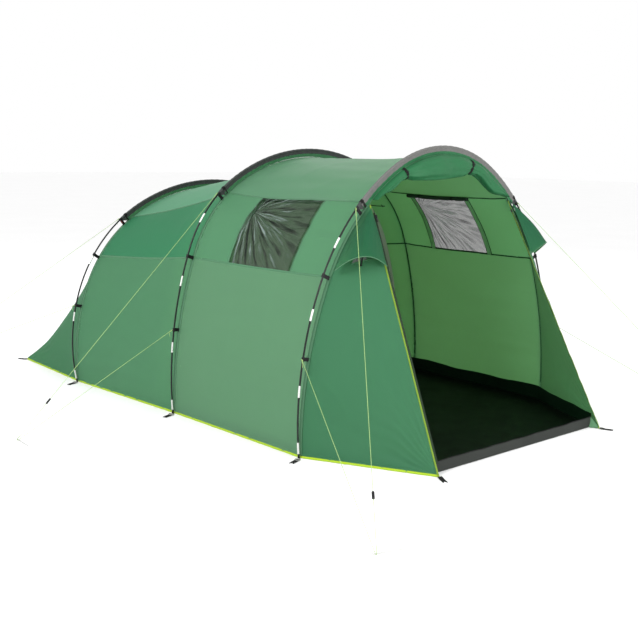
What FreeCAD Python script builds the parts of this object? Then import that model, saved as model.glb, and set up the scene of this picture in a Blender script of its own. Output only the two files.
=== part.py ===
"""Tunnel tent: three bent pole hoops, a sewn fly, a hanging inner tent and pegged guy lines.

The frame: +Z is up and z = 0 is the ground. The tunnel runs along Y with its door at the -Y end.
X = 0 is the plane of symmetry, and left means the -X side. All lengths are millimetres.
"""
import FreeCAD, Part
import math
import os

V = FreeCAD.Vector

# Hoops: place along the tunnel, half width at the ground, outward lean of the foot, then the turn
# and radius of the leg arc and of the shoulder arc. The crown arc closes each hoop at X = 0.
HOOP_SIZES = {
    "front": dict(y=-1434, half_width=1234, lean=6.2, leg_turn=28.9, leg_radius=2181,
                  shoulder_turn=37.1, shoulder_radius=1453),
    "middle": dict(y=-88, half_width=1260, lean=5.1, leg_turn=24.5, leg_radius=2760,
                   shoulder_turn=40.0, shoulder_radius=969),
    "rear": dict(y=1190, half_width=1326, lean=12.8, leg_turn=32.6, leg_radius=1365,
                 shoulder_turn=42.9, shoulder_radius=1190),
}
# Heights on each hoop of the side seam, the roof seam, the sleeve's lower end and the low clip.
SEAM_HEIGHTS = {
    "front": dict(side=1101, roof=1549, sleeve=1543, clip=618),
    "middle": dict(side=1101, roof=1549, sleeve=1573, clip=605),
    "rear": dict(side=1000, roof=1300, sleeve=1311, clip=620),
}
FRONT_CORNER = (826, -2212)
REAR_CORNER = (1263, 2212)

# Poles
POLE_RADIUS = 6.0
POLE_BORE = 4.0
SHOCK_CORD_RADIUS = 1.5
POLE_FOOT_HEIGHT = 20
TIP_RADIUS = 7.0
FIRST_FERRULE = {"front": 422, "middle": 482, "rear": 536}
SECTION_LENGTH = 470
FERRULE_LENGTH = 72
FERRULE_WALL = 1.0
SECTION_GAP = 1.0

# Fabric
FABRIC = 2.0
POLE_TO_FLY = 55
FOOT_TO_HEM = 14
HEM_RADIUS = 4.0
HEM_TOP = 9.0
SLEEVE_BORE = 8.0
SLEEVE_HALF_WIDTH = 10
SLEEVE_CLEARANCE = 4
CORNER_LENGTH = 14
SKIN_POINTS = 9
ARCH_POINTS = 25

# Windows and their rolled blinds, as fractions of the front bay from the middle hoop
WINDOW_START = 0.26
WINDOW_END = 0.72
WINDOW_GAP = 0.001
BLIND_RADIUS = 20

# Vent hoods on the porch walls, the mesh under them and the props that hold them open
HOOD_OFFSET = 20
HOOD_RISE = 105
HOOD_SHARE = 0.25
HOOD_LOW = 1135
HOOD_TIP_DROP = 45
PROP_SIZE = (10, 2.5)
PROP_PIN = 3.0
PROP_PIN_END = 3
PROP_STANDOFF = 12
PROP_ROOT_RISE = 20
PROP_HEAD_INSET = 14
PROP_HEAD_DROP = 6
HOOD_TIP_OUT = 8
HOOD_LEG_FORWARD = 22
HOOD_PROUD_RISE = 45
MESH_OFFSET = 4
MESH_LOW = 1190
MESH_START = 0.05
MESH_END = 0.2

# Porch door, its roll, its ties and its zips
ROLL_RADIUS = 38
ROLL_GAP = 5
TAPE_WIDTH = 14
TAPE_THICKNESS = 2.0
SLIDER_SIZE = (20, 14, 10)
SLIDER_CLEARANCE = 0.6
SLIDER_START = 30
SLIDER_GRIP = 8
SLIDER_PULL = (34, 7, 1.5)
SLIDER_PULL_START = 44
TAPE_TOP_GAP = 60
TAPE_END_GAP = 70
ROLL_END_GAP = 70
TIE_FROM_CROWN = 330
TIE_WIDTH = 24
TIE_CLEARANCE = 0.5
TIE_THICKNESS = 2.0

# Ground
FLOOR_THICKNESS = 2.0
LIP_HEIGHT = 110
FLOOR_MARGIN = 32
SILL_HEIGHT = 75
SILL_THICKNESS = 4
SILL_GAP = 6
SILL_SIDE_GAP = 20
SILL_Y = -2150

# Inner tent
INNER_FRONT_Y = 100
INNER_GAP = 60
INNER_REAR_Y = 1950
INNER_REAR_SCALE = (0.9, 0.2)
INNER_DOOR_WIDTH = 900
INNER_DOOR_HEIGHT = 1250
INNER_DOOR_CORNER = 300
INNER_DOOR_LOW = 60
INNER_FRONT_INSET = 12
INNER_SHELL_GAP = 5
INNER_FLOOR_MARGIN = 92
TOGGLE_SHARES = (0.3, 0.5, 0.7, 0.9)
TOGGLE_RADIUS = 4
TOGGLE_START = 8
TOGGLE_END_GAP = 4
INNER_SLIDER_SIZE = (10, 6, 22)
INNER_PULL_SIZE = (6, 2, 40)
INNER_SLIDER_Z = 90
INNER_PULL_Z = 52

# Guy lines, pegs and runners. Peg places are (x, y) on the ground.
CORD_RADIUS = 1.5
PEG_RADIUS = 3.0
PEG_LENGTH = 180
PEG_HEIGHT = 7.0
PEG_BEHIND = 22
PEG_HOOK_LENGTH = 24
PEG_HOOK_INSET = 3
GUY_PEGS = {
    ("front", "left"): (-1903, -2775),
    ("front", "right"): (1587, -2780),
    ("middle", "left"): (-2396, -34),
    ("middle", "right"): (2396, -34),
    ("rear", "left"): (-2084, 2597),
    ("rear", "right"): (2084, 2597),
}
RUNNER_SIZE = (44, 13, 7)
RUNNER_FROM_PEG = 310
CLIP_RADIUS = 10.0
CLIP_LENGTH = 24
CLIP_CLEARANCE = 3.0
ANCHOR_OFFSET = 10.5
SLEEVE_STRAP_DROP = 42
STRAP_SIZE = (95, 24, 2.5)
STRAP_NOTCH = (22, 8)
STRAP_CORNER_GAP = (6, 7)
STRAP_FOOT_GAP = (14, -18)


class Profile:
    """Half an arch in the X-Z plane: arcs from the +X foot to the crown at X = 0."""

    def __init__(self, arcs):
        self.arcs = arcs
        self.lengths = [radius * (end - start) for _, radius, start, end in arcs]
        self.length = sum(self.lengths)

    def locate(self, station):
        """Arc and angle at a distance along the arch, on the +X side."""
        for arc, length in zip(self.arcs, self.lengths):
            if station <= length + 1e-6:
                centre, radius, start, end = arc
                return centre, radius, start + (end - start) * station / length
            station -= length
        centre, radius, _, end = self.arcs[-1]
        return centre, radius, end

    def point(self, station, inset=0.0):
        """(x, z) at a distance along the whole arch, moved inwards by inset."""
        side = 1
        if station > self.length:
            station = 2 * self.length - station
            side = -1
        (cx, cz), radius, angle = self.locate(station)
        radius -= inset
        return side * (cx + radius * math.cos(angle)), cz + radius * math.sin(angle)

    def station(self, height):
        """Distance along the arch at which it reaches a height."""
        done = 0.0
        for (centre, radius, start, end), length in zip(self.arcs, self.lengths):
            if height <= centre[1] + radius * math.sin(end):
                angle = math.asin((height - centre[1]) / radius)
                return done + length * (angle - start) / (end - start)
            done += length
        return done


class Hoop:
    """One pole hoop and the line of the fly under it."""

    def __init__(self, name):
        size = HOOP_SIZES[name]
        self.name = name
        self.y = size["y"]
        self.pole = Profile(self.pole_arcs(size))
        self.fly = Profile(self.fly_arcs(size["half_width"]))
        heights = SEAM_HEIGHTS[name]
        self.hem = self.fly.station(HEM_TOP)
        self.side_seam = self.fly.station(heights["side"])
        self.roof_seam = self.fly.station(heights["roof"])
        self.sleeve_start = self.pole.station(heights["sleeve"])
        self.strap_station = self.sleeve_start - SLEEVE_STRAP_DROP
        self.seam_clip = self.pole.station(heights["side"] + 15)
        self.low_clip = self.pole.station(heights["clip"])

    @staticmethod
    def pole_arcs(size):
        """Leg, shoulder and crown arcs, each (centre, radius, start angle, end angle)."""
        start = -math.radians(size["lean"])
        knee = start + math.radians(size["leg_turn"])
        shoulder = knee + math.radians(size["shoulder_turn"])
        arcs = []
        x, z = size["half_width"], 0.0
        for begin, end, radius in ((start, knee, size["leg_radius"]),
                                   (knee, shoulder, size["shoulder_radius"])):
            centre = (x - radius * math.cos(begin), z - radius * math.sin(begin))
            arcs.append((centre, radius, begin, end))
            x = centre[0] + radius * math.cos(end)
            z = centre[1] + radius * math.sin(end)
        radius = x / math.cos(shoulder)
        arcs.append(((0.0, z - radius * math.sin(shoulder)), radius, shoulder, math.pi / 2))
        return arcs

    def fly_arcs(self, half_width):
        """The pole's arcs moved in, with a leg arc that closes in on the pole's foot."""
        _, (centre, radius, knee, shoulder), crown = self.pole.arcs
        upper = (centre, radius - POLE_TO_FLY, knee, shoulder)
        top = (crown[0], crown[1] - POLE_TO_FLY, crown[2], crown[3])
        normal = (math.cos(knee), math.sin(knee))
        joint = (centre[0] + upper[1] * normal[0], centre[1] + upper[1] * normal[1])
        across = half_width - FOOT_TO_HEM - joint[0]
        down = -joint[1]
        leg_radius = -(across ** 2 + down ** 2) / (2 * (across * normal[0] + down * normal[1]))
        leg_centre = (joint[0] - leg_radius * normal[0], joint[1] - leg_radius * normal[1])
        start = math.atan2(-leg_centre[1], half_width - FOOT_TO_HEM - leg_centre[0])
        return [(leg_centre, leg_radius, start, knee), upper, top]

    def fly_point(self, station, inset=0.0):
        """A point of the fly, or of a surface inset from it, as a vector."""
        x, z = self.fly.point(station, inset)
        return V(x, self.y, z)

    def pole_point(self, station):
        """A point of the pole's centre line on the +X side."""
        x, z = self.pole.point(station)
        return V(x, self.y, z)

    def gap_at(self, station):
        """Distance from the pole's centre line in to the fly at a station of the pole."""
        x, z = self.pole.point(station)
        fly_x = self.fly.point(self.fly.station(z))[0]
        angle = self.pole.locate(station)[2]
        return (x - fly_x) * math.cos(angle)

    def place(self, shape, station):
        """Move a shape from its own axes (X out, Z up the pole) to a station of the +X leg."""
        angle = self.pole.locate(station)[2]
        turn = FreeCAD.Rotation(V(0, 1, 0), -math.degrees(angle))
        shape.Placement = FreeCAD.Placement(self.pole_point(station), turn)
        return shape

    def outward(self, station, distance):
        """A point off the pole's centre line, square to it, on the +X side."""
        angle = self.pole.locate(station)[2]
        return self.pole_point(station) + V(math.cos(angle), 0, math.sin(angle)) * distance


HOOPS = {name: Hoop(name) for name in HOOP_SIZES}
FRONT, MIDDLE, REAR = HOOPS["front"], HOOPS["middle"], HOOPS["rear"]


# ---------------------------------------------------------------- helpers

def mirrored(shape):
    """The same shape on the other side of X = 0."""
    return shape.mirror(V(0, 0, 0), V(1, 0, 0))


def mirror_point(point):
    return V(-point.x, point.y, point.z)


def write(name, solids):
    """Write one node's solids as a STEP file."""
    solids = [solid for item in solids for solid in item.Solids]
    shape = solids[0] if len(solids) == 1 else Part.makeCompound(solids)
    shape.exportStep("parts/" + name + ".step")


def write_pair(name, solids):
    """Write a right-hand node and its mirror image."""
    write(name + "_right", solids)
    write(name + "_left", [mirrored(solid) for solid in solids])


def ring_face(radius, bore, at, axis):
    """A disc, or a ring where bore is over zero, at a point and square to an axis."""
    outer = Part.Wire(Part.makeCircle(radius, at, axis))
    if bore <= 0:
        return Part.Face(outer)
    return Part.Face([outer, Part.Wire(Part.makeCircle(bore, at, axis))])


def bent_bar(profile, y, first, last, section):
    """Sweep a section along an arch between two stations. section(at, out, along) is its face."""
    pieces = []
    for low, high, flip in ((first, min(last, profile.length), False),
                            (2 * profile.length - last, 2 * profile.length - max(first, profile.length), True)):
        done = 0.0
        for (centre, radius, start, end), length in zip(profile.arcs, profile.lengths):
            begin = max(low - done, 0.0)
            finish = min(high - done, length)
            done += length
            if finish - begin < 1e-3:
                continue
            angle = start + (end - start) * begin / length
            turn = (end - start) * (finish - begin) / length
            out = V(math.cos(angle), 0, math.sin(angle))
            along = V(-math.sin(angle), 0, math.cos(angle))
            hub = V(centre[0], y, centre[1])
            face = section(hub + out * radius, out, along)
            piece = face.revolve(hub, V(0, -1, 0), math.degrees(turn))
            pieces.append(mirrored(piece) if flip else piece)
    whole = pieces[0]
    if len(pieces) > 1:
        whole = whole.fuse(pieces[1:]).removeSplitter()
    return whole


def arch_points(hoop, first, last, inset=0.0):
    """Evenly spaced fly points between two stations, more of them where they pass the crown."""
    count = ARCH_POINTS if last > hoop.fly.length else SKIN_POINTS
    steps = count - 1
    return [hoop.fly_point(first + (last - first) * i / steps, inset) for i in range(count)]


def between(points_a, points_b, share):
    """Points part of the way from one row to another."""
    return [a + (b - a) * share for a, b in zip(points_a, points_b)]


def curve_edge(row):
    """Smooth edge through a row of points."""
    curve = Part.BSplineCurve()
    curve.interpolate(row)
    return curve.toShape()


def thin_wire(outer, inner):
    """Closed wire round a thin strip given by its outer and inner rows of points."""
    edges = [curve_edge(outer), curve_edge(list(reversed(inner)))]
    first = Part.LineSegment(outer[-1], inner[-1]).toShape()
    second = Part.LineSegment(inner[0], outer[0]).toShape()
    return Part.Wire([edges[0], first, edges[1], second])


def skin(rows_a, rows_b):
    """Thin ruled solid between two strips, each an (outer row, inner row) pair."""
    return Part.makeLoft([thin_wire(*rows_a), thin_wire(*rows_b)], True, True)


def faceted_skin(rows_a, rows_b):
    """Thin solid between two strips with flat facets, as a stiff clear film creases."""
    rings = [list(outer) + list(reversed(inner)) for outer, inner in (rows_a, rows_b)]
    count = len(rings[0])
    half = count // 2
    corners = []
    for i in range(count):
        j = (i + 1) % count
        corners += [(rings[0][i], rings[0][j], rings[1][i]), (rings[0][j], rings[1][j], rings[1][i])]
    for ring, forward in zip(rings, (False, True)):
        for i in range(half - 1):
            far = (ring[count - 1 - i], ring[count - 2 - i])
            ends = [(ring[i], ring[i + 1], far[1]), (ring[i], far[1], far[0])]
            corners += ends if forward else [tuple(reversed(end)) for end in ends]
    faces = [Part.Face(Part.makePolygon([a, b, c, a])) for a, b, c in corners]
    shell = Part.makeShell(faces)
    shell.sewShape()
    solid = Part.makeSolid(shell)
    if solid.Volume < 0:
        solid.reverse()
    return solid


class Bay:
    """The fly between two hoops, or between a hoop and a corner of the hem."""

    def __init__(self, rows_a, rows_b):
        self.rows_a = rows_a
        self.rows_b = rows_b

    def rows(self, share):
        return tuple(between(a, b, share) for a, b in zip(self.rows_a, self.rows_b))

    def panel(self, start=0.0, end=1.0):
        return skin(self.rows(start), self.rows(end))


def strip(hoop, first, last, inset=0.0, thickness=FABRIC):
    return (arch_points(hoop, first, last, inset), arch_points(hoop, first, last, inset + thickness))


def line_rows(start, end, inward):
    """A straight thin strip with the same number of points as an arch strip."""
    steps = SKIN_POINTS - 1
    outer = [start + (end - start) * i / steps for i in range(SKIN_POINTS)]
    return (outer, [point + inward * FABRIC for point in outer])


def rod(start, end, radius):
    return Part.makeCylinder(radius, (end - start).Length, start, end - start)


def along_frame(origin, x_axis, z_hint):
    """Placement with local X along x_axis and local Z as near z_hint as can be."""
    x_axis = V(x_axis).normalize()
    y_axis = V(z_hint).cross(x_axis).normalize()
    z_axis = x_axis.cross(y_axis)
    return FreeCAD.Placement(origin, FreeCAD.Rotation(x_axis, y_axis, z_axis, "XYZ"))


# ---------------------------------------------------------------- poles

def ferrule_stations(hoop):
    """Middle of each ferrule, the same from both feet."""
    stations = []
    station = FIRST_FERRULE[hoop.name]
    while station < hoop.pole.length - SECTION_LENGTH / 3:
        stations += [station, 2 * hoop.pole.length - station]
        station += SECTION_LENGTH
    return sorted(stations)


def pole_sections(hoop):
    """Hollow pole sections that butt inside their ferrules."""
    def tube(at, out, along):
        return ring_face(POLE_RADIUS, POLE_BORE, at, along)

    ends = [POLE_FOOT_HEIGHT] + ferrule_stations(hoop) + [2 * hoop.pole.length - POLE_FOOT_HEIGHT]
    half_gap = SECTION_GAP / 2
    return [bent_bar(hoop.pole, hoop.y, a + half_gap, b - half_gap, tube) for a, b in zip(ends, ends[1:])]


def ferrules(hoop):
    def sleeve(at, out, along):
        return ring_face(POLE_RADIUS + FERRULE_WALL, POLE_RADIUS, at, along)

    half = FERRULE_LENGTH / 2
    middles = ferrule_stations(hoop)
    feet = [POLE_FOOT_HEIGHT + half + 12, 2 * hoop.pole.length - POLE_FOOT_HEIGHT - half - 12]
    return [bent_bar(hoop.pole, hoop.y, m - half, m + half, sleeve) for m in middles + feet]


def shock_cord(hoop):
    def core(at, out, along):
        return ring_face(SHOCK_CORD_RADIUS, 0, at, along)

    start = POLE_FOOT_HEIGHT + 1
    return bent_bar(hoop.pole, hoop.y, start, 2 * hoop.pole.length - start, core)


def pole_tips():
    """Plastic caps that the pole ends stand in."""
    tips = []
    for hoop in HOOPS.values():
        tip = Part.makeCylinder(TIP_RADIUS, POLE_FOOT_HEIGHT - 3, V(0, 0, 3 - POLE_FOOT_HEIGHT))
        tips.append(hoop.place(tip, POLE_FOOT_HEIGHT))
    return tips + [mirrored(tip) for tip in tips]


def clip_stations(hoop):
    return (hoop.strap_station, hoop.seam_clip, hoop.low_clip)


def pole_clips():
    """Rings round the pole with a web to the fly: two clips and the sleeve-end strap per leg."""
    clips = []
    for hoop in HOOPS.values():
        for station in clip_stations(hoop):
            half = CLIP_LENGTH / 2
            ring = Part.makeCylinder(CLIP_RADIUS, CLIP_LENGTH, V(0, 0, -half))
            bore = Part.makeCylinder(POLE_RADIUS + 0.4, CLIP_LENGTH, V(0, 0, -half))
            reach = hoop.gap_at(station) - CLIP_CLEARANCE
            web = Part.makeBox(reach - POLE_RADIUS - 1, 3, CLIP_LENGTH, V(-reach, -1.5, -half))
            clips.append(hoop.place(ring.fuse(web).cut(bore), station))
    return clips + [mirrored(clip) for clip in clips]


# ---------------------------------------------------------------- fly

def sleeve(hoop):
    """Fabric fin from the fly out to the pole, with the pole's channel along its edge."""
    reach = POLE_TO_FLY - SLEEVE_CLEARANCE

    def fin(at, out, along):
        side = V(0, SLEEVE_HALF_WIDTH, 0)
        low, high = at - out * reach, at + out * (SLEEVE_BORE + 3)
        outline = Part.makePolygon([low - side, low + side, high + side, high - side, low - side])
        return Part.Face([outline, Part.Wire(Part.makeCircle(SLEEVE_BORE, at, along))])

    last = 2 * hoop.pole.length - hoop.sleeve_start
    return bent_bar(hoop.pole, hoop.y, hoop.sleeve_start, last, fin)


def roof(hoop_a, hoop_b):
    rows = [strip(h, h.roof_seam, 2 * h.fly.length - h.roof_seam) for h in (hoop_a, hoop_b)]
    return Bay(*rows)


def upper_side(hoop_a, hoop_b, inset=0.0, thickness=FABRIC):
    rows = [strip(h, h.side_seam, h.roof_seam, inset, thickness) for h in (hoop_a, hoop_b)]
    return Bay(*rows)


def lower_side(hoop_a, hoop_b):
    return Bay(*[strip(h, h.hem, h.side_seam) for h in (hoop_a, hoop_b)])


def corner_bay(hoop, corner, inset=0.0, thickness=FABRIC, first=None):
    """The fan of fabric from a hoop's leg to a hem corner, closed by a short edge there."""
    first = hoop.hem if first is None else first
    leg = strip(hoop, first, hoop.roof_seam, inset, thickness)
    foot = V(corner[0], corner[1], HEM_TOP)
    up = (hoop.fly_point(hoop.roof_seam) - foot).normalize()
    outward = wall_normal(hoop, corner)
    low = foot - outward * inset
    outer = line_rows(low, low + up * CORNER_LENGTH, outward * -thickness / FABRIC)
    return Bay(leg, outer)


def wall_normal(hoop, corner):
    """Outward normal of the +X fan between a hoop's leg and a hem corner."""
    foot = V(corner[0], corner[1], HEM_TOP)
    normal = (hoop.fly_point(hoop.side_seam) - foot).cross(hoop.fly_point(hoop.roof_seam) - foot)
    normal.normalize()
    return normal if normal.x > 0 else normal * -1


def rear_wall():
    """The sloping back from the rear hoop down to the straight rear hem."""
    arch = arch_points(REAR, REAR.roof_seam, 2 * REAR.fly.length - REAR.roof_seam)
    arch = [point + V(0, FABRIC, 0) for point in arch]
    right = V(REAR_CORNER[0], REAR_CORNER[1], HEM_TOP)
    left = mirror_point(right)
    face = Part.makeRuledSurface(curve_edge(arch), Part.LineSegment(right, left).toShape())
    crown = REAR.fly_point(REAR.fly.length)
    inward = (V(0, REAR_CORNER[1], HEM_TOP) - crown).cross(V(1, 0, 0)).normalize()
    if inward.z > 0:
        inward = inward * -1
    return face.extrude(inward * FABRIC)


def hem_path():
    """Ground points of the fly's hem from the front corner to the rear corner, +X side."""
    feet = [(hoop.fly.point(0)[0], hoop.y) for hoop in (FRONT, MIDDLE, REAR)]
    return [FRONT_CORNER] + feet + [REAR_CORNER]


def hem_piping():
    """Round piping under the hem, in straight lengths from foot to foot."""
    pieces = []
    path = [V(x, y, HEM_RADIUS) for x, y in hem_path()]
    for start, end in zip(path, path[1:]):
        run = (end - start).normalize()
        pieces.append(rod(start + run * HEM_RADIUS, end - run * HEM_RADIUS, HEM_RADIUS))
    back = path[-1]
    across = rod(V(-back.x + HEM_RADIUS, back.y, back.z), V(back.x - HEM_RADIUS, back.y, back.z), HEM_RADIUS)
    return pieces + [mirrored(piece) for piece in pieces] + [across]


# ---------------------------------------------------------------- windows and vents

def window_bay(inset=0.0, thickness=FABRIC):
    return upper_side(MIDDLE, FRONT, inset, thickness)


def window_blind():
    """Blind rolled up along the top of the window, inside the fly."""
    rows = upper_side(MIDDLE, FRONT, FABRIC + BLIND_RADIUS + 2)
    top = [rows.rows(share)[0][-2] for share in (WINDOW_START, WINDOW_END)]
    return rod(top[0], top[1], BLIND_RADIUS)


def door_edge(offset=0.0):
    """Ends of the porch door's straight edge on the +X side, moved out from the wall."""
    out = wall_normal(FRONT, FRONT_CORNER) * offset
    top = FRONT.fly_point(FRONT.roof_seam)
    return top + out, V(FRONT_CORNER[0], FRONT_CORNER[1], HEM_TOP) + out


def hood_points():
    """Tip, leg end, proud middle and door end of the vent hood's lower edge, +X side."""
    out = wall_normal(FRONT, FRONT_CORNER)
    top, corner = door_edge(HOOD_OFFSET)
    down = (corner - top).normalize()
    tip = top + down * HOOD_TIP_DROP + V(HOOD_TIP_OUT, 0, 0)
    leg = FRONT.fly_point(FRONT.fly.station(HOOD_LOW)) + out * HOOD_OFFSET - V(0, HOOD_LEG_FORWARD, 0)
    door = top + (corner - top) * HOOD_SHARE
    proud = (leg + door) * 0.5 + out * HOOD_RISE + V(0, 0, HOOD_PROUD_RISE)
    return tip, leg, proud, door


def vent_hood():
    """Peaked hood made of two flat faces that meet along its ridge."""
    tip, leg, proud, door = hood_points()
    inward = wall_normal(FRONT, FRONT_CORNER) * -FABRIC
    faces = [Part.Face(Part.makePolygon([tip, a, b, tip])) for a, b in ((leg, proud), (proud, door))]
    return faces[0].extrude(inward).fuse(faces[1].extrude(inward))


def prop_ends():
    """Root and tip of the stiff prop that holds the hood open, +X side."""
    tip, leg, proud, door = hood_points()
    out = wall_normal(FRONT, FRONT_CORNER)
    root = (leg + door) * 0.5 + out * (PROP_STANDOFF - HOOD_OFFSET) + V(0, 0, PROP_ROOT_RISE)
    head = proud - out * PROP_HEAD_INSET - V(0, 0, PROP_HEAD_DROP)
    return root, head


def vent_prop():
    root, head = prop_ends()
    tip, leg, _, door = hood_points()
    frame = along_frame(root, head - root, door - leg)
    width, thick = PROP_SIZE
    blade = Part.makeBox((head - root).Length, thick, width, V(0, -thick / 2, -width / 2))
    pin = Part.makeCylinder(PROP_PIN, width + 2 * PROP_PIN_END, V(0, 0, -width / 2 - PROP_PIN_END))
    prop = blade.fuse(pin)
    prop.Placement = frame
    return prop


def vent_mesh():
    """Mesh patch over the porch wall's air opening, just off the wall."""
    bay = corner_bay(FRONT, FRONT_CORNER, -MESH_OFFSET, FABRIC, FRONT.fly.station(MESH_LOW))
    rows = [curve_edge(bay.rows(share)[0]) for share in (MESH_START, MESH_END)]
    return Part.makeRuledSurface(*rows).extrude(wall_normal(FRONT, FRONT_CORNER))


# ---------------------------------------------------------------- porch door

def door_roll():
    """The porch door rolled up under the front hoop."""
    def disc(at, out, along):
        at = at - out * (FABRIC + ROLL_RADIUS + ROLL_GAP)
        return ring_face(ROLL_RADIUS, 0, at, along)

    first = FRONT.roof_seam + ROLL_END_GAP
    return bent_bar(FRONT.fly, FRONT.y, first, 2 * FRONT.fly.length - first, disc)


def door_ties():
    """Webbing loops that hold the rolled door."""
    def band(at, out, along):
        at = at - out * (FABRIC + ROLL_RADIUS + ROLL_GAP)
        bore = ROLL_RADIUS + TIE_CLEARANCE
        return ring_face(bore + TIE_THICKNESS, bore, at, along)

    half = TIE_WIDTH / 2
    middles = [FRONT.fly.length + side * TIE_FROM_CROWN for side in (-1, 1)]
    return [bent_bar(FRONT.fly, FRONT.y, middle - half, middle + half, band) for middle in middles]


def tape_frame():
    """Placement at the top of the right zip tape: local X runs down it, local Z out of the wall."""
    top, corner = door_edge(-FABRIC / 2)
    run = (corner - top).normalize()
    return along_frame(top + run * TAPE_TOP_GAP, run, wall_normal(FRONT, FRONT_CORNER))


def tape_length():
    top, corner = door_edge()
    return (corner - top).Length - TAPE_TOP_GAP - TAPE_END_GAP


def into_doorway():
    """-1 or 1: the side of the edge, along the tape frame's local Y, on which the doorway lies."""
    local_y = tape_frame().Rotation.multVec(V(0, 1, 0))
    return -1 if local_y.x > 0 else 1


def zip_slider():
    """Slider with a slot that runs on the tape's free edge, and its pull tab."""
    long, wide, thick = SLIDER_SIZE
    side = into_doorway()
    low = TAPE_WIDTH - SLIDER_GRIP
    body = Part.makeBox(long, wide, thick, V(SLIDER_START, low, -thick / 2))
    slot_width = SLIDER_GRIP + SLIDER_CLEARANCE
    half_slot = TAPE_THICKNESS / 2 + SLIDER_CLEARANCE
    slot = Part.makeBox(long, slot_width, 2 * half_slot, V(SLIDER_START, low, -half_slot))
    pull = Part.makeBox(*SLIDER_PULL, V(SLIDER_PULL_START, low + (wide - SLIDER_PULL[1]) / 2, thick / 2))
    shape = body.cut(slot).fuse(pull)
    if side < 0:
        shape = shape.mirror(V(0, 0, 0), V(0, 1, 0))
    shape.Placement = tape_frame().multiply(shape.Placement)
    return shape


def tape_to_doorway():
    """The tape, on the doorway's side of the edge."""
    tape = Part.makeBox(tape_length(), TAPE_WIDTH - 1, TAPE_THICKNESS, V(0, 1, -TAPE_THICKNESS / 2))
    if into_doorway() < 0:
        tape = tape.mirror(V(0, 0, 0), V(0, 1, 0))
    tape.Placement = tape_frame().multiply(tape.Placement)
    return tape


# ---------------------------------------------------------------- ground

def floor_edge(margin, front_y, back_y):
    """Closed ground outline inside the hem between two places along the tunnel."""
    path = hem_path()

    def width_at(y):
        for (x0, y0), (x1, y1) in zip(path, path[1:]):
            if y <= y1:
                return x0 + (x1 - x0) * (y - y0) / (y1 - y0) - margin
        return path[-1][0] - margin

    places = [front_y] + [y for _, y in path if front_y < y < back_y] + [back_y]
    right = [V(width_at(y), y, 0) for y in places]
    left = [mirror_point(point) for point in reversed(right)]
    return Part.Face(Part.makePolygon(right + left + [right[0]]))


def groundsheet():
    """Living-area floor with a raised lip along its sides."""
    front, back = SILL_Y + SILL_GAP, INNER_FRONT_Y - SILL_GAP
    outer = floor_edge(FLOOR_MARGIN, front, back).extrude(V(0, 0, LIP_HEIGHT))
    inner = floor_edge(FLOOR_MARGIN + FABRIC, front - 1, back + 1).extrude(V(0, 0, LIP_HEIGHT))
    inner.translate(V(0, 0, FLOOR_THICKNESS))
    return outer.cut(inner)


def door_sill():
    """Raised front lip of the floor across the doorway."""
    corner, foot = hem_path()[:2]
    share = (SILL_Y - corner[1]) / (foot[1] - corner[1])
    width = corner[0] + (foot[0] - corner[0]) * share - FLOOR_MARGIN - SILL_SIDE_GAP
    return Part.makeBox(2 * width, SILL_THICKNESS, SILL_HEIGHT, V(-width, SILL_Y, 0))


# ---------------------------------------------------------------- inner tent

def inner_rows(y, inset):
    """Arch strip of the inner tent at a place between the middle and rear hoops."""
    share = (y - MIDDLE.y) / (REAR.y - MIDDLE.y)
    bay = Bay(*[strip(h, h.hem, 2 * h.fly.length - h.hem, inset) for h in (MIDDLE, REAR)])
    return bay.rows(share)


def inner_outline(y, inset):
    """Face that fills the inner tent's arch at a place along the tunnel."""
    return closed_arch(inner_rows(y, inset)[0])


def closed_arch(row):
    """Face between an arch of points and the straight line between its feet."""
    return Part.Face(Part.Wire([curve_edge(row), Part.LineSegment(row[-1], row[0]).toShape()]))


def inner_door_face(margin=0.0):
    """Rounded doorway in the inner tent's front wall."""
    half = INNER_DOOR_WIDTH / 2 - margin
    top = INNER_DOOR_HEIGHT - margin
    radius = INNER_DOOR_CORNER - margin
    low = INNER_DOOR_LOW + margin
    centres = (V(half - radius, INNER_FRONT_Y, top - radius), V(radius - half, INNER_FRONT_Y, top - radius))
    points = [V(half, INNER_FRONT_Y, low), V(half, INNER_FRONT_Y, top - radius)]
    edges = [Part.LineSegment(*points).toShape()]
    diagonal = V(1, 0, 1).normalize() * radius
    arc_end = V(centres[0].x, INNER_FRONT_Y, top)
    edges.append(Part.Arc(points[1], centres[0] + diagonal, arc_end).toShape())
    second = V(centres[1].x, INNER_FRONT_Y, top)
    edges.append(Part.LineSegment(arc_end, second).toShape())
    left = V(-half, INNER_FRONT_Y, top - radius)
    edges.append(Part.Arc(second, centres[1] + V(-diagonal.x, 0, diagonal.z), left).toShape())
    corner = V(-half, INNER_FRONT_Y, low)
    edges.append(Part.LineSegment(left, corner).toShape())
    edges.append(Part.LineSegment(corner, points[0]).toShape())
    return Part.Face(Part.Wire(edges))


def inner_front():
    wall = inner_outline(INNER_FRONT_Y, INNER_FRONT_INSET).extrude(V(0, FABRIC, 0))
    return wall.cut(inner_door_face().extrude(V(0, FABRIC, 0)))


def inner_door():
    return inner_door_face(1.0).extrude(V(0, FABRIC, 0))


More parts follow.
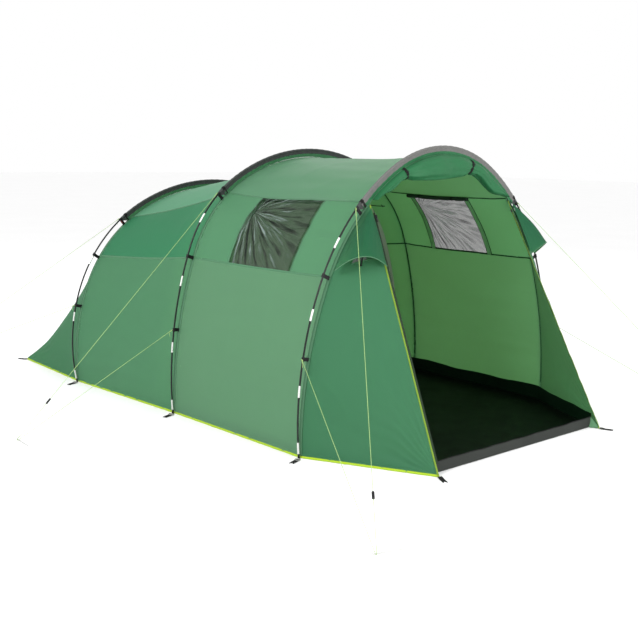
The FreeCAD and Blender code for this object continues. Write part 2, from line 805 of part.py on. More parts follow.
def inner_shell():
    """Walls and roof of the bedroom, ending in a low back wall."""
    front = inner_rows(INNER_FRONT_Y + INNER_SHELL_GAP, INNER_GAP)
    middle = inner_rows(REAR.y, INNER_GAP)
    wide, high = INNER_REAR_SCALE
    base = middle[0][0].z

    def shrink(point):
        return V(point.x * wide, INNER_REAR_Y, base + (point.z - base) * high)

    outer = [shrink(point) for point in middle[0]]
    inner = [V(point.x * 0.996, point.y, point.z - FABRIC * 0.9) for point in outer]
    inner[0] = V(inner[0].x, inner[0].y, base)
    inner[-1] = V(inner[-1].x, inner[-1].y, base)
    back = (outer, inner)
    end_wall = closed_arch(outer).extrude(V(0, FABRIC, 0))
    return [skin(front, middle), skin(middle, back), end_wall]


def inner_floor():
    return floor_edge(INNER_FLOOR_MARGIN, INNER_FRONT_Y + INNER_SHELL_GAP, INNER_REAR_Y).extrude(V(0, 0, FLOOR_THICKNESS))


def inner_toggles():
    """Short straps with toggles from the inner tent's front edge to the fly's hoop seam."""
    toggles = []
    for share in TOGGLE_SHARES:
        station = MIDDLE.side_seam + (MIDDLE.fly.length - MIDDLE.side_seam) * share
        x, z = MIDDLE.fly.point(station, INNER_GAP)
        start = V(x, MIDDLE.y + TOGGLE_START, z)
        toggles.append(rod(start, V(x, INNER_FRONT_Y - TOGGLE_END_GAP, z), TOGGLE_RADIUS))
    return toggles + [mirrored(toggle) for toggle in toggles]


def inner_slider():
    """Zip slider standing just in front of the inner door's edge."""
    wide, deep, _ = INNER_SLIDER_SIZE
    x = INNER_DOOR_WIDTH / 2 - wide + 2
    y = INNER_FRONT_Y - 1 - deep
    body = Part.makeBox(*INNER_SLIDER_SIZE, V(x, y, INNER_SLIDER_Z))
    pull = Part.makeBox(*INNER_PULL_SIZE, V(x + 2, y - INNER_PULL_SIZE[1], INNER_PULL_Z))
    return body.fuse(pull)


# ---------------------------------------------------------------- guys and pegs

def guy_ends(hoop_name, side):
    """Upper anchor, peg centre and lower anchor of one guy line."""
    hoop = HOOPS[hoop_name]
    upper = hoop.outward(hoop.strap_station, ANCHOR_OFFSET)
    lower = hoop.outward(hoop.low_clip, ANCHOR_OFFSET)
    if side == "left":
        upper, lower = mirror_point(upper), mirror_point(lower)
    x, y = GUY_PEGS[hoop_name, side]
    return upper, V(x, y, PEG_HEIGHT), lower


def guy_route(hoop_name, side):
    """Upper anchor, two points that carry the line round its peg, and the lower anchor."""
    upper, peg, lower = guy_ends(hoop_name, side)
    to_upper, to_lower = (upper - peg).normalize(), (lower - peg).normalize()
    outer = (to_upper + to_lower).normalize() * -1
    across = (to_upper - to_lower).normalize()
    reach = PEG_RADIUS + CORD_RADIUS + 0.1
    half = to_upper.getAngle(to_lower) / 2
    spread = reach * (1 - math.sin(half)) / math.cos(half)
    return [upper, peg + outer * reach + across * spread, peg + outer * reach - across * spread, lower]


def cord(name, route):
    """Round cord of straight runs joined by tangent arcs."""
    edges = []
    start = route[0]
    length = 0.0
    for before, corner, after in zip(route, route[1:], route[2:]):
        inwards, onwards = (corner - before), (after - corner)
        half_turn = inwards.getAngle(onwards) / 2
        radius = 0.45 * min(inwards.Length, onwards.Length) / math.tan(half_turn)
        reach = radius * math.tan(half_turn)
        first = corner - inwards.normalize() * reach
        last = corner + onwards.normalize() * reach
        middle = (first + last) * 0.5 - corner
        middle = corner + middle.normalize() * (radius / math.cos(half_turn) - radius)
        edges.append(Part.LineSegment(start, first).toShape())
        edges.append(Part.Arc(first, middle, last).toShape())
        start = last
        print(name, "arc radius %.1f mm, turn %.0f degrees" % (radius, 2 * math.degrees(half_turn)))
    edges.append(Part.LineSegment(start, route[-1]).toShape())
    path = Part.Wire(edges)
    profile = Part.Wire(Part.makeCircle(CORD_RADIUS, route[0], route[1] - route[0]))
    tube = path.makePipeShell([profile], True, True)
    length = sum(edge.Length for edge in edges)
    share = tube.Volume / (length * math.pi * CORD_RADIUS ** 2)
    print(name, "length %.0f mm, volume ratio %.4f" % (length, share))
    return tube


def guy_peg(hoop_name, side):
    """Round peg through the line's loop, lying on the ground, with a hooked head."""
    upper, peg, lower = guy_ends(hoop_name, side)
    normal = (upper - peg).cross(lower - peg)
    axis = V(normal.x, normal.y, 0).normalize()
    if axis.y > 0:
        axis = axis * -1
    shank = Part.makeCylinder(PEG_RADIUS, PEG_LENGTH, peg - axis * PEG_BEHIND, axis)
    hook = peg - axis * (PEG_BEHIND - PEG_HOOK_INSET)
    head = Part.makeCylinder(PEG_RADIUS, PEG_HOOK_LENGTH, hook, (upper - peg).cross(axis).cross(axis) * -1)
    if head.BoundBox.ZMin < 0:
        head = Part.makeCylinder(PEG_RADIUS, PEG_HOOK_LENGTH, hook, V(0, 0, 1))
    return shank.fuse(head)


def runner(hoop_name, side):
    """Plastic line tensioner that slides on the upper leg of a guy line."""
    route = guy_route(hoop_name, side)
    run = (route[0] - route[1]).normalize()
    long, wide, thick = RUNNER_SIZE
    body = Part.makeBox(long, wide, thick, V(-long / 2, -wide / 2, -thick / 2))
    corners = [edge for edge in body.Edges if abs(edge.tangentAt(edge.FirstParameter).z) > 0.9]
    body = body.makeFillet(wide * 0.4, corners)
    hole = Part.makeCylinder(CORD_RADIUS + 0.4, long + 2, V(-long / 2 - 1, 0, 0), V(1, 0, 0))
    spare = Part.makeCylinder(CORD_RADIUS + 0.4, thick + 2, V(long / 4, 4.2, -thick / 2 - 1))
    shape = body.cut(hole).cut(spare)
    shape.Placement = along_frame(route[1] + run * RUNNER_FROM_PEG, run, V(0, 1, 0).cross(run) + V(0, 0, 0.01))
    return shape


def pegging_strap(at, heading):
    """Flat webbing tab with a forked end, lying on the ground outside the hem."""
    long, wide, thick = STRAP_SIZE
    web = Part.makeBox(long, wide, thick, V(0, -wide / 2, 0))
    deep, half = STRAP_NOTCH
    mouth = [V(long + 1, -half, -1), V(long - deep, 0, -1), V(long + 1, half, -1)]
    notch = Part.makePolygon(mouth + mouth[:1])
    web = web.cut(Part.Face(notch).extrude(V(0, 0, thick + 2)))
    web.Placement = along_frame(V(at[0], at[1], 0), V(heading[0], heading[1], 0), V(0, 0, 1))
    return web


def pegging_straps():
    """One tab at each corner of the hem and beside each pole foot."""
    straps = []
    for (x, y), heading in ((FRONT_CORNER, (0.5, -1)), (REAR_CORNER, (0.5, 1))):
        dx, dy = STRAP_CORNER_GAP
        straps.append(pegging_strap((x + dx * heading[0], y + dy * heading[1]), heading))
    for hoop in HOOPS.values():
        dx, dy = STRAP_FOOT_GAP
        straps.append(pegging_strap((hoop.pole.point(0)[0] + dx, hoop.y + dy), (1, -0.35)))
    return straps + [mirrored(strap_shape) for strap_shape in straps]


# ---------------------------------------------------------------- writing the parts

def write_poles():
    for hoop in HOOPS.values():
        write(hoop.name + "_pole", pole_sections(hoop))
    write("pole_ferrules", [piece for hoop in HOOPS.values() for piece in ferrules(hoop)])
    write("shock_cords", [shock_cord(hoop) for hoop in HOOPS.values()])
    write("pole_end_tips", pole_tips())
    write("pole_clips", pole_clips())


def write_fly():
    for hoop in HOOPS.values():
        write(hoop.name + "_pole_sleeve", [sleeve(hoop)])
    write("front_bay_roof", [roof(MIDDLE, FRONT).panel()])
    write("rear_bay_roof", [roof(REAR, MIDDLE).panel()])
    window = window_bay()
    write_pair("front_bay_upper_side", [window.panel(0.0, WINDOW_START), window.panel(WINDOW_END, 1.0)])
    write_pair("front_bay_lower_side", [lower_side(MIDDLE, FRONT).panel()])
    write_pair("rear_bay_upper_side", [upper_side(REAR, MIDDLE).panel()])
    write_pair("rear_bay_lower_side", [lower_side(REAR, MIDDLE).panel()])
    write("rear_wall", [rear_wall()])
    write_pair("rear_corner", [corner_bay(REAR, REAR_CORNER).panel()])
    write_pair("porch_wall", [corner_bay(FRONT, FRONT_CORNER).panel()])
    write("hem_piping", hem_piping())


def write_openings():
    shares = (WINDOW_START + WINDOW_GAP, WINDOW_END - WINDOW_GAP)
    pane = faceted_skin(*(window_bay().rows(share) for share in shares))
    write("window_panes", [pane, mirrored(pane)])
    blind = window_blind()
    write("window_blinds", [blind, mirrored(blind)])
    write_pair("vent_hood", [vent_hood()])
    write_pair("vent_prop", [vent_prop()])
    mesh = vent_mesh()
    write("vent_meshes", [mesh, mirrored(mesh)])
    write("rolled_door", [door_roll()])
    write("door_ties", door_ties())
    tape = tape_to_doorway()
    write("door_zip_tapes", [tape, mirrored(tape)])
    write_pair("door_zip_slider", [zip_slider()])


def write_inside():
    write("groundsheet", [groundsheet()])
    write("door_sill", [door_sill()])
    write("inner_tent_front", [inner_front()])
    write("inner_tent_door", [inner_door()])
    write("inner_door_slider", [inner_slider()])
    write("inner_tent_shell", inner_shell())
    write("inner_tent_floor", [inner_floor()])
    write("inner_tent_toggles", inner_toggles())


def write_guys():
    for hoop_name, side in GUY_PEGS:
        name = hoop_name + "_guy_line_" + side
        write(name, [cord(name, guy_route(hoop_name, side))])
        write(hoop_name + "_guy_runner_" + side, [runner(hoop_name, side)])
    write("guy_pegs", [guy_peg(*key) for key in GUY_PEGS])
    write("pegging_straps", pegging_straps())


def main():
    os.makedirs("parts", exist_ok=True)
    write_poles()
    write_fly()
    write_openings()
    write_inside()
    write_guys()


if __name__ == "__main__":
    main()
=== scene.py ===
"""Tunnel tent: fabric, windows, cords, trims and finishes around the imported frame.

Every length is in metres. The door faces -Y, +Z is up, and left means the -X side.
"""

import logging
import math
from dataclasses import dataclass
from enum import Enum
from typing import Optional, Sequence

import bpy
import numpy as np
from mathutils import Matrix, Vector


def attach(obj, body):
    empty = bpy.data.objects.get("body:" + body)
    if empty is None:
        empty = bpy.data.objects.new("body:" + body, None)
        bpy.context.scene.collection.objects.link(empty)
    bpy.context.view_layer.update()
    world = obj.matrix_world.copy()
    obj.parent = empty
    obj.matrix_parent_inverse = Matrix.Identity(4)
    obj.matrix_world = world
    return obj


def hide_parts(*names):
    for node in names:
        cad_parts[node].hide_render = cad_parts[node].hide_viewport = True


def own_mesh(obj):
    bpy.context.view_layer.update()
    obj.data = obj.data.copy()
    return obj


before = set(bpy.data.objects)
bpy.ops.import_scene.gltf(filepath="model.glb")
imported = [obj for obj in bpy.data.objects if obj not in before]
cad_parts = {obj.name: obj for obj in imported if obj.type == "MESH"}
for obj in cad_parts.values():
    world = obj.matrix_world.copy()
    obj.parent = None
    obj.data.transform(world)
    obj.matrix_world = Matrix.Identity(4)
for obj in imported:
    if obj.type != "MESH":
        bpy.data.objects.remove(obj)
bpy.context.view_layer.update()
LOG = logging.getLogger("tunnel_tent")
BODY = "tent"
SHEET = 0.0016
Points = np.ndarray
Piece = bpy.types.Object
Material = bpy.types.Material


class Side(Enum):
    """Which side of the plane X = 0 a piece is on."""

    LEFT = -1
    RIGHT = 1

    @property
    def word(self) -> str:
        """The side's name in node names."""
        return self.name.lower()

    @property
    def flip(self) -> Points:
        """Scale that takes a point of the +X side to this side."""
        return np.array([self.value, 1, 1], float)


class Tint(Enum):
    """Painted light and shade of each panel: how far its cloth's colour leans from the plain fly green,
    lighter where the panel is lit and darker where it lies in shade.
    """

    PLAIN = (1.0, 1.0, 1.0)
    BAND = (0.8, 0.95, 0.92)
    ROOF = (1.0, 1.02, 1.08)
    REAR = (0.72, 0.93, 0.84)
    REAR_ROOF = (1.1, 1.35, 1.4)
    REAR_BAND = (0.33, 0.84, 0.7)
    SKIRT = (0.44, 0.76, 0.62)
    PORCH = (0.43, 0.72, 0.62)
    HOOD = (0.11, 0.4, 0.33)


# ---- shader maths

def operators(operation: str) -> tuple:
    """A Math node's operator for Value, and its reflected form.

    Args:
        operation: the Math node's operation.

    Returns:
        The two methods.
    """
    def forward(self: "Value", other: object) -> "Value":
        """The operation with this value first."""
        return self._math(operation, self, other)

    def reflected(self: "Value", other: object) -> "Value":
        """The operation with this value second."""
        return self._math(operation, other, self)

    return forward, reflected


class Value:
    """A shader socket whose operators add Math nodes."""

    def __init__(self, graph: "Graph", socket: bpy.types.NodeSocket) -> None:
        """Wrap a socket."""
        self.graph = graph
        self.socket = socket

    def _math(self, operation: str, first: object, second: object = None) -> "Value":
        """One Math node."""
        sockets = {0: first} if second is None else {0: first, 1: second}
        return self.graph.node("ShaderNodeMath", {"operation": operation}, sockets)

    __add__, __radd__ = operators("ADD")
    __sub__, __rsub__ = operators("SUBTRACT")
    __mul__, __rmul__ = operators("MULTIPLY")
    __truediv__, __rtruediv__ = operators("DIVIDE")
    __pow__, __rpow__ = operators("POWER")

    def sine(self) -> "Value":
        """Sine, in radians."""
        return self._math("SINE", self)

    def size(self) -> "Value":
        """Absolute value."""
        return self._math("ABSOLUTE", self)

    def band(self, low: float, high: float) -> "Value":
        """Smooth step from 0 at low to 1 at high.

        Args:
            low: where the step starts.
            high: where it ends.

        Returns:
            The stepped value.
        """
        settings = {"interpolation_type": "SMOOTHSTEP"}
        sockets = {"Value": self, "From Min": low, "From Max": high, "To Min": 0.0, "To Max": 1.0}
        return self.graph.node("ShaderNodeMapRange", settings, sockets)


class Graph:
    """The node graph of one material."""

    def __init__(self, name: str) -> None:
        """Make an empty material.

        Args:
            name: the material's name.
        """
        self.material = bpy.data.materials.new(name)
        self.material.use_nodes = True
        self.material.node_tree.nodes.clear()

    def node(self, kind: str, settings: dict, sockets: dict, output: object = 0) -> Optional[Value]:
        """Add one node.

        Args:
            kind: the node's type.
            settings: its properties, set before its sockets; "stops" fills a colour ramp.
            sockets: what each input gets: a Value, a number or a tuple.
            output: the output's name or number, or None for a node without one.

        Returns:
            The chosen output.
        """
        made = self.material.node_tree.nodes.new(kind)
        for key, setting in settings.items():
            if key == "stops":
                self._fill_ramp(made.color_ramp, setting)
            else:
                setattr(made, key, setting)
        for key, given in sockets.items():
            if isinstance(given, Value):
                self.material.node_tree.links.new(given.socket, made.inputs[key])
            else:
                made.inputs[key].default_value = given
        return None if output is None else Value(self, made.outputs[output])

    @staticmethod
    def _fill_ramp(ramp: bpy.types.ColorRamp, stops: Sequence[tuple]) -> None:
        """Set a ramp's stops.

        Args:
            ramp: the colour ramp.
            stops: (position, grey or RGB) pairs, two or more.
        """
        while len(ramp.elements) < len(stops):
            ramp.elements.new(1.0)
        for element, (position, colour) in zip(ramp.elements, stops):
            element.position = position
            rgb = (colour,) * 3 if isinstance(colour, float) else colour
            element.color = (*rgb, 1.0)

    def place(self, kind: str = "Object") -> Value:
        """Coordinates of the shaded point: "Object" in metres, or "UV"."""
        return self.node("ShaderNodeTexCoord", {}, {}, kind)

    def part(self, vector: Value, axis: str) -> Value:
        """One component of a vector."""
        return self.node("ShaderNodeSeparateXYZ", {}, {0: vector}, axis)

    def noise(self, where: Value, scale: float, detail: float = 3.0, rough: float = 0.5) -> Value:
        """Fractal noise from 0 to 1."""
        sockets = {"Vector": where, "Scale": scale, "Detail": detail, "Roughness": rough}
        return self.node("ShaderNodeTexNoise", {}, sockets)

    def blend(self, share: object, first: object, second: object) -> Value:
        """Mix two colours."""
        sockets = {0: share, 6: first, 7: second}
        return self.node("ShaderNodeMix", {"data_type": "RGBA"}, sockets, 2)

    def bump(self, height: Value, distance: float, strength: float = 1.0) -> Value:
        """Normal from a height in units of distance."""
        sockets = {"Height": height, "Distance": distance, "Strength": strength}
        return self.node("ShaderNodeBump", {}, sockets)

    def principled(self, sockets: dict) -> Value:
        """A Principled shader with the given sockets."""
        return self.node("ShaderNodeBsdfPrincipled", {}, sockets)

    def finish(self, surface: Value) -> Material:
        """Link the surface to the output and give back the material."""
        self.node("ShaderNodeOutputMaterial", {}, {"Surface": surface}, None)
        return self.material

    def wave(self, distance: Value, length: float) -> Value:
        """Sine wave of a length in metres over a distance."""
        return (distance * (2 * math.pi / length)).sine()


def rgba(colour: Sequence[float], factor: float = 1.0) -> tuple:
    """A colour as four numbers, scaled."""
    return tuple(min(1.0, c * factor) for c in colour) + (1.0,)


# ---- finishes

class Finish:
    """A material that is built the first time it is asked for."""

    made: dict = {}

    @property
    def material(self) -> Material:
        """The finish's one material."""
        if self.name not in self.made:
            self.made[self.name] = self.build()
        return self.made[self.name]


@dataclass(frozen=True)
class ClothFinish(Finish):
    """Coated or plain woven cloth."""

    name: str
    colour: tuple
    slot: str
    roughness: float = 0.62
    thread: float = 0.0011
    weave: float = 0.00005
    mottle: float = 0.1
    crease: float = 0.0008
    crease_scale: float = 2.6
    glow: float = 0.0
    glow_colour: tuple = (0.1, 0.4, 0.1)
    sheen: float = 0.02

    def build(self) -> Material:
        """Weave, packing creases and soft mottling over the cloth's colour, and a faint painted highlight
        along the creases.

        Returns:
            The material.
        """
        graph = Graph(self.name)
        uv, spot = graph.place("UV"), graph.place()
        weave = graph.wave(graph.part(uv, "X"), self.thread) * graph.wave(graph.part(uv, "Y"), self.thread)
        patches = graph.noise(spot, 1.7, 2.0)
        fine = graph.noise(spot, 45.0, 4.0, 0.6)
        drift = self._wander(graph, spot)
        bent = graph.node("ShaderNodeVectorMath", {"operation": "ADD"}, {0: spot, 1: drift})
        edge = graph.node("ShaderNodeTexVoronoi", {"feature": "DISTANCE_TO_EDGE"},
                          {"Vector": bent, "Scale": self.crease_scale}, "Distance")
        fold = 1.0 - edge.band(0.0, 0.09)
        share = (patches - 0.5) * 2.0 * self.mottle + (fine - 0.5) * self.mottle * 0.5 + 0.5
        tone = graph.blend(share, rgba(self.colour, 0.86), rgba(self.colour, 1.14))
        # Painted highlight: the crease lines are lightened a little, standing in for light catching them.
        tone = graph.blend(fold * 0.05, tone, rgba(self.colour, 1.3))
        relief = weave * self.weave + fold * self.crease * 0.35 + fine * self.crease * 0.1
        normal = graph.bump(relief, 1.0)
        rough = self.roughness + (fine - 0.5) * 0.14
        surface = graph.principled({"Base Color": tone, "Roughness": rough, "Normal": normal,
                                    "Sheen Weight": self.sheen, "Specular IOR Level": 0.2})
        if self.glow > 0:
            through = graph.node("ShaderNodeBsdfTranslucent", {}, {"Color": rgba(self.glow_colour)})
            surface = graph.node("ShaderNodeMixShader", {}, {0: self.glow, 1: surface, 2: through})
        return graph.finish(surface)

    @staticmethod
    def _wander(graph: Graph, spot: Value) -> Value:
        """A small vector that bends crease lines."""
        sockets = {"Vector": spot, "Scale": 2.2, "Detail": 2.0}
        drift = graph.node("ShaderNodeTexNoise", {}, sockets, "Color")
        return graph.node("ShaderNodeVectorMath", {"operation": "SCALE"}, {0: drift, "Scale": 0.22})


@dataclass(frozen=True)
class FilmFinish(Finish):
    """Clear window film with folds that fan out from one point."""

    name: str = "clear_window_film"
    slot: str = "clear_film"
    # Ramp colours of the folds: dark is painted shade, light is painted highlight and reflection, middle lies
    # between.
    dark: tuple = (0.004, 0.008, 0.006)
    middle: tuple = (0.024, 0.054, 0.026)
    light: tuple = (0.2, 0.25, 0.24)
    centre: tuple = (0.41, 0.03)
    reach: float = 0.8

    def build(self) -> Material:
        """Glossy film whose folds carry painted streaks of highlight and shade.

        Returns:
            The material.
        """
        graph = Graph(self.name)
        spot, uv = graph.place(), graph.place("UV")
        up = graph.part(uv, "X") - self.centre[0]
        over = graph.part(uv, "Y") - self.centre[1]
        turn = graph.node("ShaderNodeMath", {"operation": "ARCTAN2"}, {0: up, 1: over})
        away = (up * up + over * over) ** 0.5
        wander = graph.noise(spot, 5.0, 3.0)
        bend = (graph.noise(spot, 2.5, 1.0) - 0.5) * 0.5
        fan = graph.node("ShaderNodeCombineXYZ", {}, {0: turn * 3.0 + bend, 1: away * 0.8})
        streak = graph.noise(fan, 3.1, 2.5, 0.55)
        near = 1.0 - (away / self.reach).band(0.2, 1.0)
        share = 0.5 + (streak - 0.5) * (near * 2.7 + 0.5) + (wander - 0.5) * 0.3
        # Painted highlight and shade: each fold streak picks a colour from dark through middle to light.
        stops = [(0.0, self.dark), (0.28, self.dark), (0.45, self.middle), (0.62, self.middle),
                 (1.0, self.light)]
        tone = graph.node("ShaderNodeValToRGB", {"stops": stops}, {0: share})
        surface = graph.principled({
            "Base Color": tone, "Roughness": 0.3 + wander * 0.2,
            "Normal": graph.bump(streak * 0.4 + wander * 0.3, 0.012),
            "Alpha": 0.44 + (share - 0.5).size() * 0.6, "Specular IOR Level": 0.06})
        return graph.finish(surface)


@dataclass(frozen=True)
class WebFinish(Finish):
    """Narrow woven webbing, binding or zip tape."""

    name: str
    colour: tuple
    slot: str
    rib: float = 0.0022
    roughness: float = 0.7

    def build(self) -> Material:
        """Ribs across the band and a fleck of lighter thread.

        Returns:
            The material.
        """
        graph = Graph(self.name)
        uv, spot = graph.place("UV"), graph.place()
        ribs = graph.wave(graph.part(uv, "Y"), self.rib)
        cords = graph.wave(graph.part(uv, "X"), self.rib / 2)
        fleck = graph.noise(spot, 220.0, 2.0)
        share = ribs * 0.18 + fleck * 0.6 + 0.2
        tone = graph.blend(share, rgba(self.colour, 0.75), rgba(self.colour, 1.3))
        relief = ribs * 0.00018 + cords * 0.00008
        surface = graph.principled({"Base Color": tone, "Roughness": self.roughness + fleck * 0.15,
                                    "Normal": graph.bump(relief, 1.0), "Sheen Weight": 0.02,
                                    "Specular IOR Level": 0.15})
        return graph.finish(surface)


@dataclass(frozen=True)
class HardFinish(Finish):
    """Moulded plastic, fibreglass or metal."""

    name: str
    colour: tuple
    slot: str
    roughness: float = 0.45
    metallic: float = 0.0
    grain: float = 0.00003
    scratch: float = 0.0
    coat: float = 0.0

    def build(self) -> Material:
        """Fine grain with scuffs that lighten the surface.

        Returns:
            The material.
        """
        graph = Graph(self.name)
        spot = graph.place()
        grain = graph.noise(spot, 900.0, 2.0)
        scuff = graph.noise(spot, 60.0, 5.0, 0.65).band(0.56, 0.74)
        tone = graph.blend(scuff * self.scratch, rgba(self.colour), rgba(self.colour, 1.9))
        surface = graph.principled({
            "Base Color": tone, "Metallic": self.metallic,
            "Roughness": self.roughness + scuff * 0.2 + (grain - 0.5) * 0.08,
            "Normal": graph.bump(grain, self.grain), "Coat Weight": self.coat, "Specular IOR Level": 0.2})
        return graph.finish(surface)


@dataclass(frozen=True)
class FloorFinish(Finish):
    """Woven polythene floor sheet with a coarse slit-tape weave."""

    name: str
    colour: tuple
    slot: str
    tape: float = 0.004
    gloss: float = 0.38

    def build(self) -> Material:
        """Checker of tapes, each a shade lighter or darker.

        Returns:
            The material.
        """
        graph = Graph(self.name)
        uv, spot = graph.place("UV"), graph.place()
        across = graph.wave(graph.part(uv, "X"), 2 * self.tape).size()
        along = graph.wave(graph.part(uv, "Y"), 2 * self.tape).size()
        scuff = graph.noise(spot, 5.0, 5.0, 0.6)
        tone = graph.blend(across * along * 0.5 + scuff * 0.5, rgba(self.colour, 0.6), rgba(self.colour, 1.7))
        relief = across * 0.00012 + along * 0.00012 + scuff * 0.0012
        surface = graph.principled({"Base Color": tone, "Roughness": self.gloss + scuff * 0.2,
                                    "Normal": graph.bump(relief, 1.0), "Specular IOR Level": 0.08})
        return graph.finish(surface)


@dataclass(frozen=True)
class MeshFinish(Finish):
    """Fine netting that partly lets light through."""

    name: str = "vent_netting"
    slot: str = "mesh_fabric"
    colour: tuple = (0.16, 0.18, 0.17)
    cell: float = 0.003

    def build(self) -> Material:
        """Threads of a square net, with painted shade in the holes.

        Returns:
            The material.
        """
        graph = Graph(self.name)
        uv = graph.place("UV")
        across, along = (graph.wave(graph.part(uv, axis), 2 * self.cell).size() for axis in "XY")
        net = across * along
        # Painted shade: the holes are darkened to stand in for the dark space behind the net.
        holes = net.band(0.25, 0.6)
        surface = graph.principled({
            "Base Color": graph.blend(holes, rgba(self.colour, 1.2), rgba(self.colour, 0.3)),
            "Roughness": 0.8 - holes * 0.1, "Normal": graph.bump(1.0 - net, 0.0004)})
        return graph.finish(surface)


def fly_cloth(panel_light: Tint) -> tuple:
    """Outer and inner cloth of the fly, with one panel's painted light and shade.

    Args:
        panel_light: the panel's painted light and shade.

    Returns:
        The outer and the inner material.
    """
    outer = tuple(c * t for c, t in zip(FLY_GREEN, panel_light.value))
    # Painted light and shade on the inside faces: the porch wall's inside darkened as shade, the upper band
    # and the roof lightened.
    inside_light_gain = {Tint.PORCH: 0.55, Tint.BAND: 1.35, Tint.ROOF: 1.1}.get(panel_light, 1.0)
    inner = tuple(min(0.95, c * t ** 0.8 * inside_light_gain) for c, t in zip(INSIDE_GREEN, panel_light.value))
    glow = 0.25 if panel_light is Tint.PORCH else 0.5
    key = "fly_" + panel_light.name.lower()
    faces = (ClothFinish(key + "_outside", outer, "fly_fabric", glow=0.3, glow_colour=(0.42, 0.74, 0.38)),
             ClothFinish(key + "_inside", inner, "fly_fabric", roughness=0.75, glow=glow,
                         glow_colour=(0.6, 0.88, 0.5)))
    return tuple(face.material for face in faces)


FLY_GREEN = (0.1, 0.226, 0.132)
INSIDE_GREEN = (0.207, 0.5, 0.265)
FILM = FilmFinish()
NETTING = MeshFinish()
SLEEVE_CLOTH = ClothFinish("sleeve_charcoal", (0.045, 0.05, 0.048), "sleeve_fabric", roughness=0.7,
                           crease_scale=9.0)
FRONT_SLEEVE_CLOTH = ClothFinish("sleeve_warm_grey", (0.125, 0.125, 0.12), "sleeve_fabric", roughness=0.7,
                                 crease_scale=9.0)
DOOR_CLOTH = ClothFinish("door_green", (0.014, 0.112, 0.04), "dark_fly_fabric", roughness=0.5,
                         crease_scale=12.0)
ROLLED_BLIND = ClothFinish("rolled_blind", (0.012, 0.03, 0.018), "dark_fly_fabric", crease_scale=14.0)
GUSSET_CLOTH = ClothFinish("gusset_green", (0.08, 0.2, 0.1), "lime_binding", crease_scale=12.0)
INNER_CLOTH = ClothFinish("inner_tent_cloth", (0.46, 0.5, 0.44), "inner_fabric", roughness=0.8,
                          crease_scale=4.0, glow=0.3, glow_colour=(0.6, 0.7, 0.56))
LIME_BINDING = WebFinish("lime_binding", (0.36, 0.52, 0.03), "lime_binding")
# Painted shade: the doorway's lime binding is darker than the hem's, standing in for the shade along the door
# edges.
SHADED_DOOR_BINDING = WebFinish("door_binding_shaded", (0.17, 0.27, 0.03), "lime_binding")
SEAM_TAPE = ClothFinish("seam_cloth", (0.06, 0.165, 0.085), "fly_fabric", crease=0.0002)
BLACK_WEBBING = WebFinish("black_webbing", (0.007, 0.007, 0.007), "webbing")
ZIP_TAPE = WebFinish("zip_tape", (0.02, 0.035, 0.02), "zip_tape", rib=0.0015)
BLACK_PLASTIC = HardFinish("black_moulding", (0.008, 0.008, 0.009), "black_plastic", 0.42, scratch=0.5)
POLE_GLASS = HardFinish("fibreglass_pole", (0.008, 0.011, 0.01), "pole_fibreglass", 0.3, scratch=0.3,
                        coat=0.1)
FERRULE_METAL = HardFinish("ferrule_metal", (0.72, 0.72, 0.7), "ferrule_metal", 0.34, 0.85, scratch=0.2)
PEG_METAL = HardFinish("peg_metal", (0.55, 0.55, 0.54), "peg_steel", 0.38, 0.9, scratch=0.3)
ZIP_METAL = HardFinish("zip_black", (0.02, 0.02, 0.022), "zip_metal", 0.35, 0.4, scratch=0.4)
FLOOR_SHEET = FloorFinish("floor_sheet_black", (0.0016, 0.0034, 0.0018), "floor_sheet")
FLOOR_LIP = FloorFinish("floor_lip_green", (0.002, 0.01, 0.004), "floor_sheet", gloss=0.45)
SILL_SHEET = FloorFinish("door_sill_weave", (0.028, 0.031, 0.028), "sill_fabric", tape=0.006, gloss=0.5)
CORD_BRAID = WebFinish("guy_cord_braid", (0.34, 0.5, 0.19), "guy_cord", rib=0.004)
INSIDE_SEAM = ClothFinish("inside_seam_cloth", (0.012, 0.06, 0.02), "fly_fabric", crease=0.0002)
RED_TAB = WebFinish("red_tab", (0.4, 0.03, 0.03), "webbing")
ELASTIC = WebFinish("shock_cord_braid", (0.7, 0.7, 0.68), "elastic", rib=0.002)


# ---- mesh building

def unit(vectors: Points) -> Points:
    """Vectors scaled to length 1 along the last axis."""
    return vectors / np.maximum(np.linalg.norm(vectors, axis=-1, keepdims=True), 1e-12)


def vec(*numbers: float) -> Points:
    """A row of numbers as an array."""
    return np.array(numbers, float)


RIGHTWARD, BACKWARD, UP = np.eye(3)
FORWARD = -BACKWARD


def mix(first: Points, second: Points, share: object) -> Points:
    """Points a share of the way from the first to the second."""
    return first * (1 - share) + second * share


def circle(count: int) -> Points:
    """Evenly spaced points round a circle of radius 1."""
    angle = np.linspace(0, 2 * math.pi, count, endpoint=False)
    return np.stack([np.cos(angle), np.sin(angle)], -1)


def slab(half_width: float, half_height: float) -> Points:
    """Corners of a rectangle."""
    return vec(-1, -1, 1, -1, 1, 1, -1, 1).reshape(4, 2) * (half_width, half_height)


def plateau(x: Points, start: float, end: float) -> Points:
    """1 between 0 and 1, falling smoothly to 0 within start and end of the two."""
    return smooth(x, 0.0, start) * smooth(1 - x, 0.0, end)


def smooth(x: object, low: float, high: float) -> Points:
    """Smooth step of numbers from 0 at low to 1 at high."""
    t = np.clip((np.asarray(x, float) - low) / (high - low), 0.0, 1.0)
    return t * t * (3 - 2 * t)


def running(points: Points, axis: int = 0) -> Points:
    """Distance run along an axis of a grid of points, from 0."""
    steps = np.linalg.norm(np.diff(points, axis=axis), axis=-1)
    first = np.zeros_like(np.take(steps, [0], axis=axis))
    return np.concatenate([first, np.cumsum(steps, axis=axis)], axis=axis)


def along(points: Points) -> Points:
    """Unit tangents of a path."""
    return unit(np.gradient(points, axis=0))


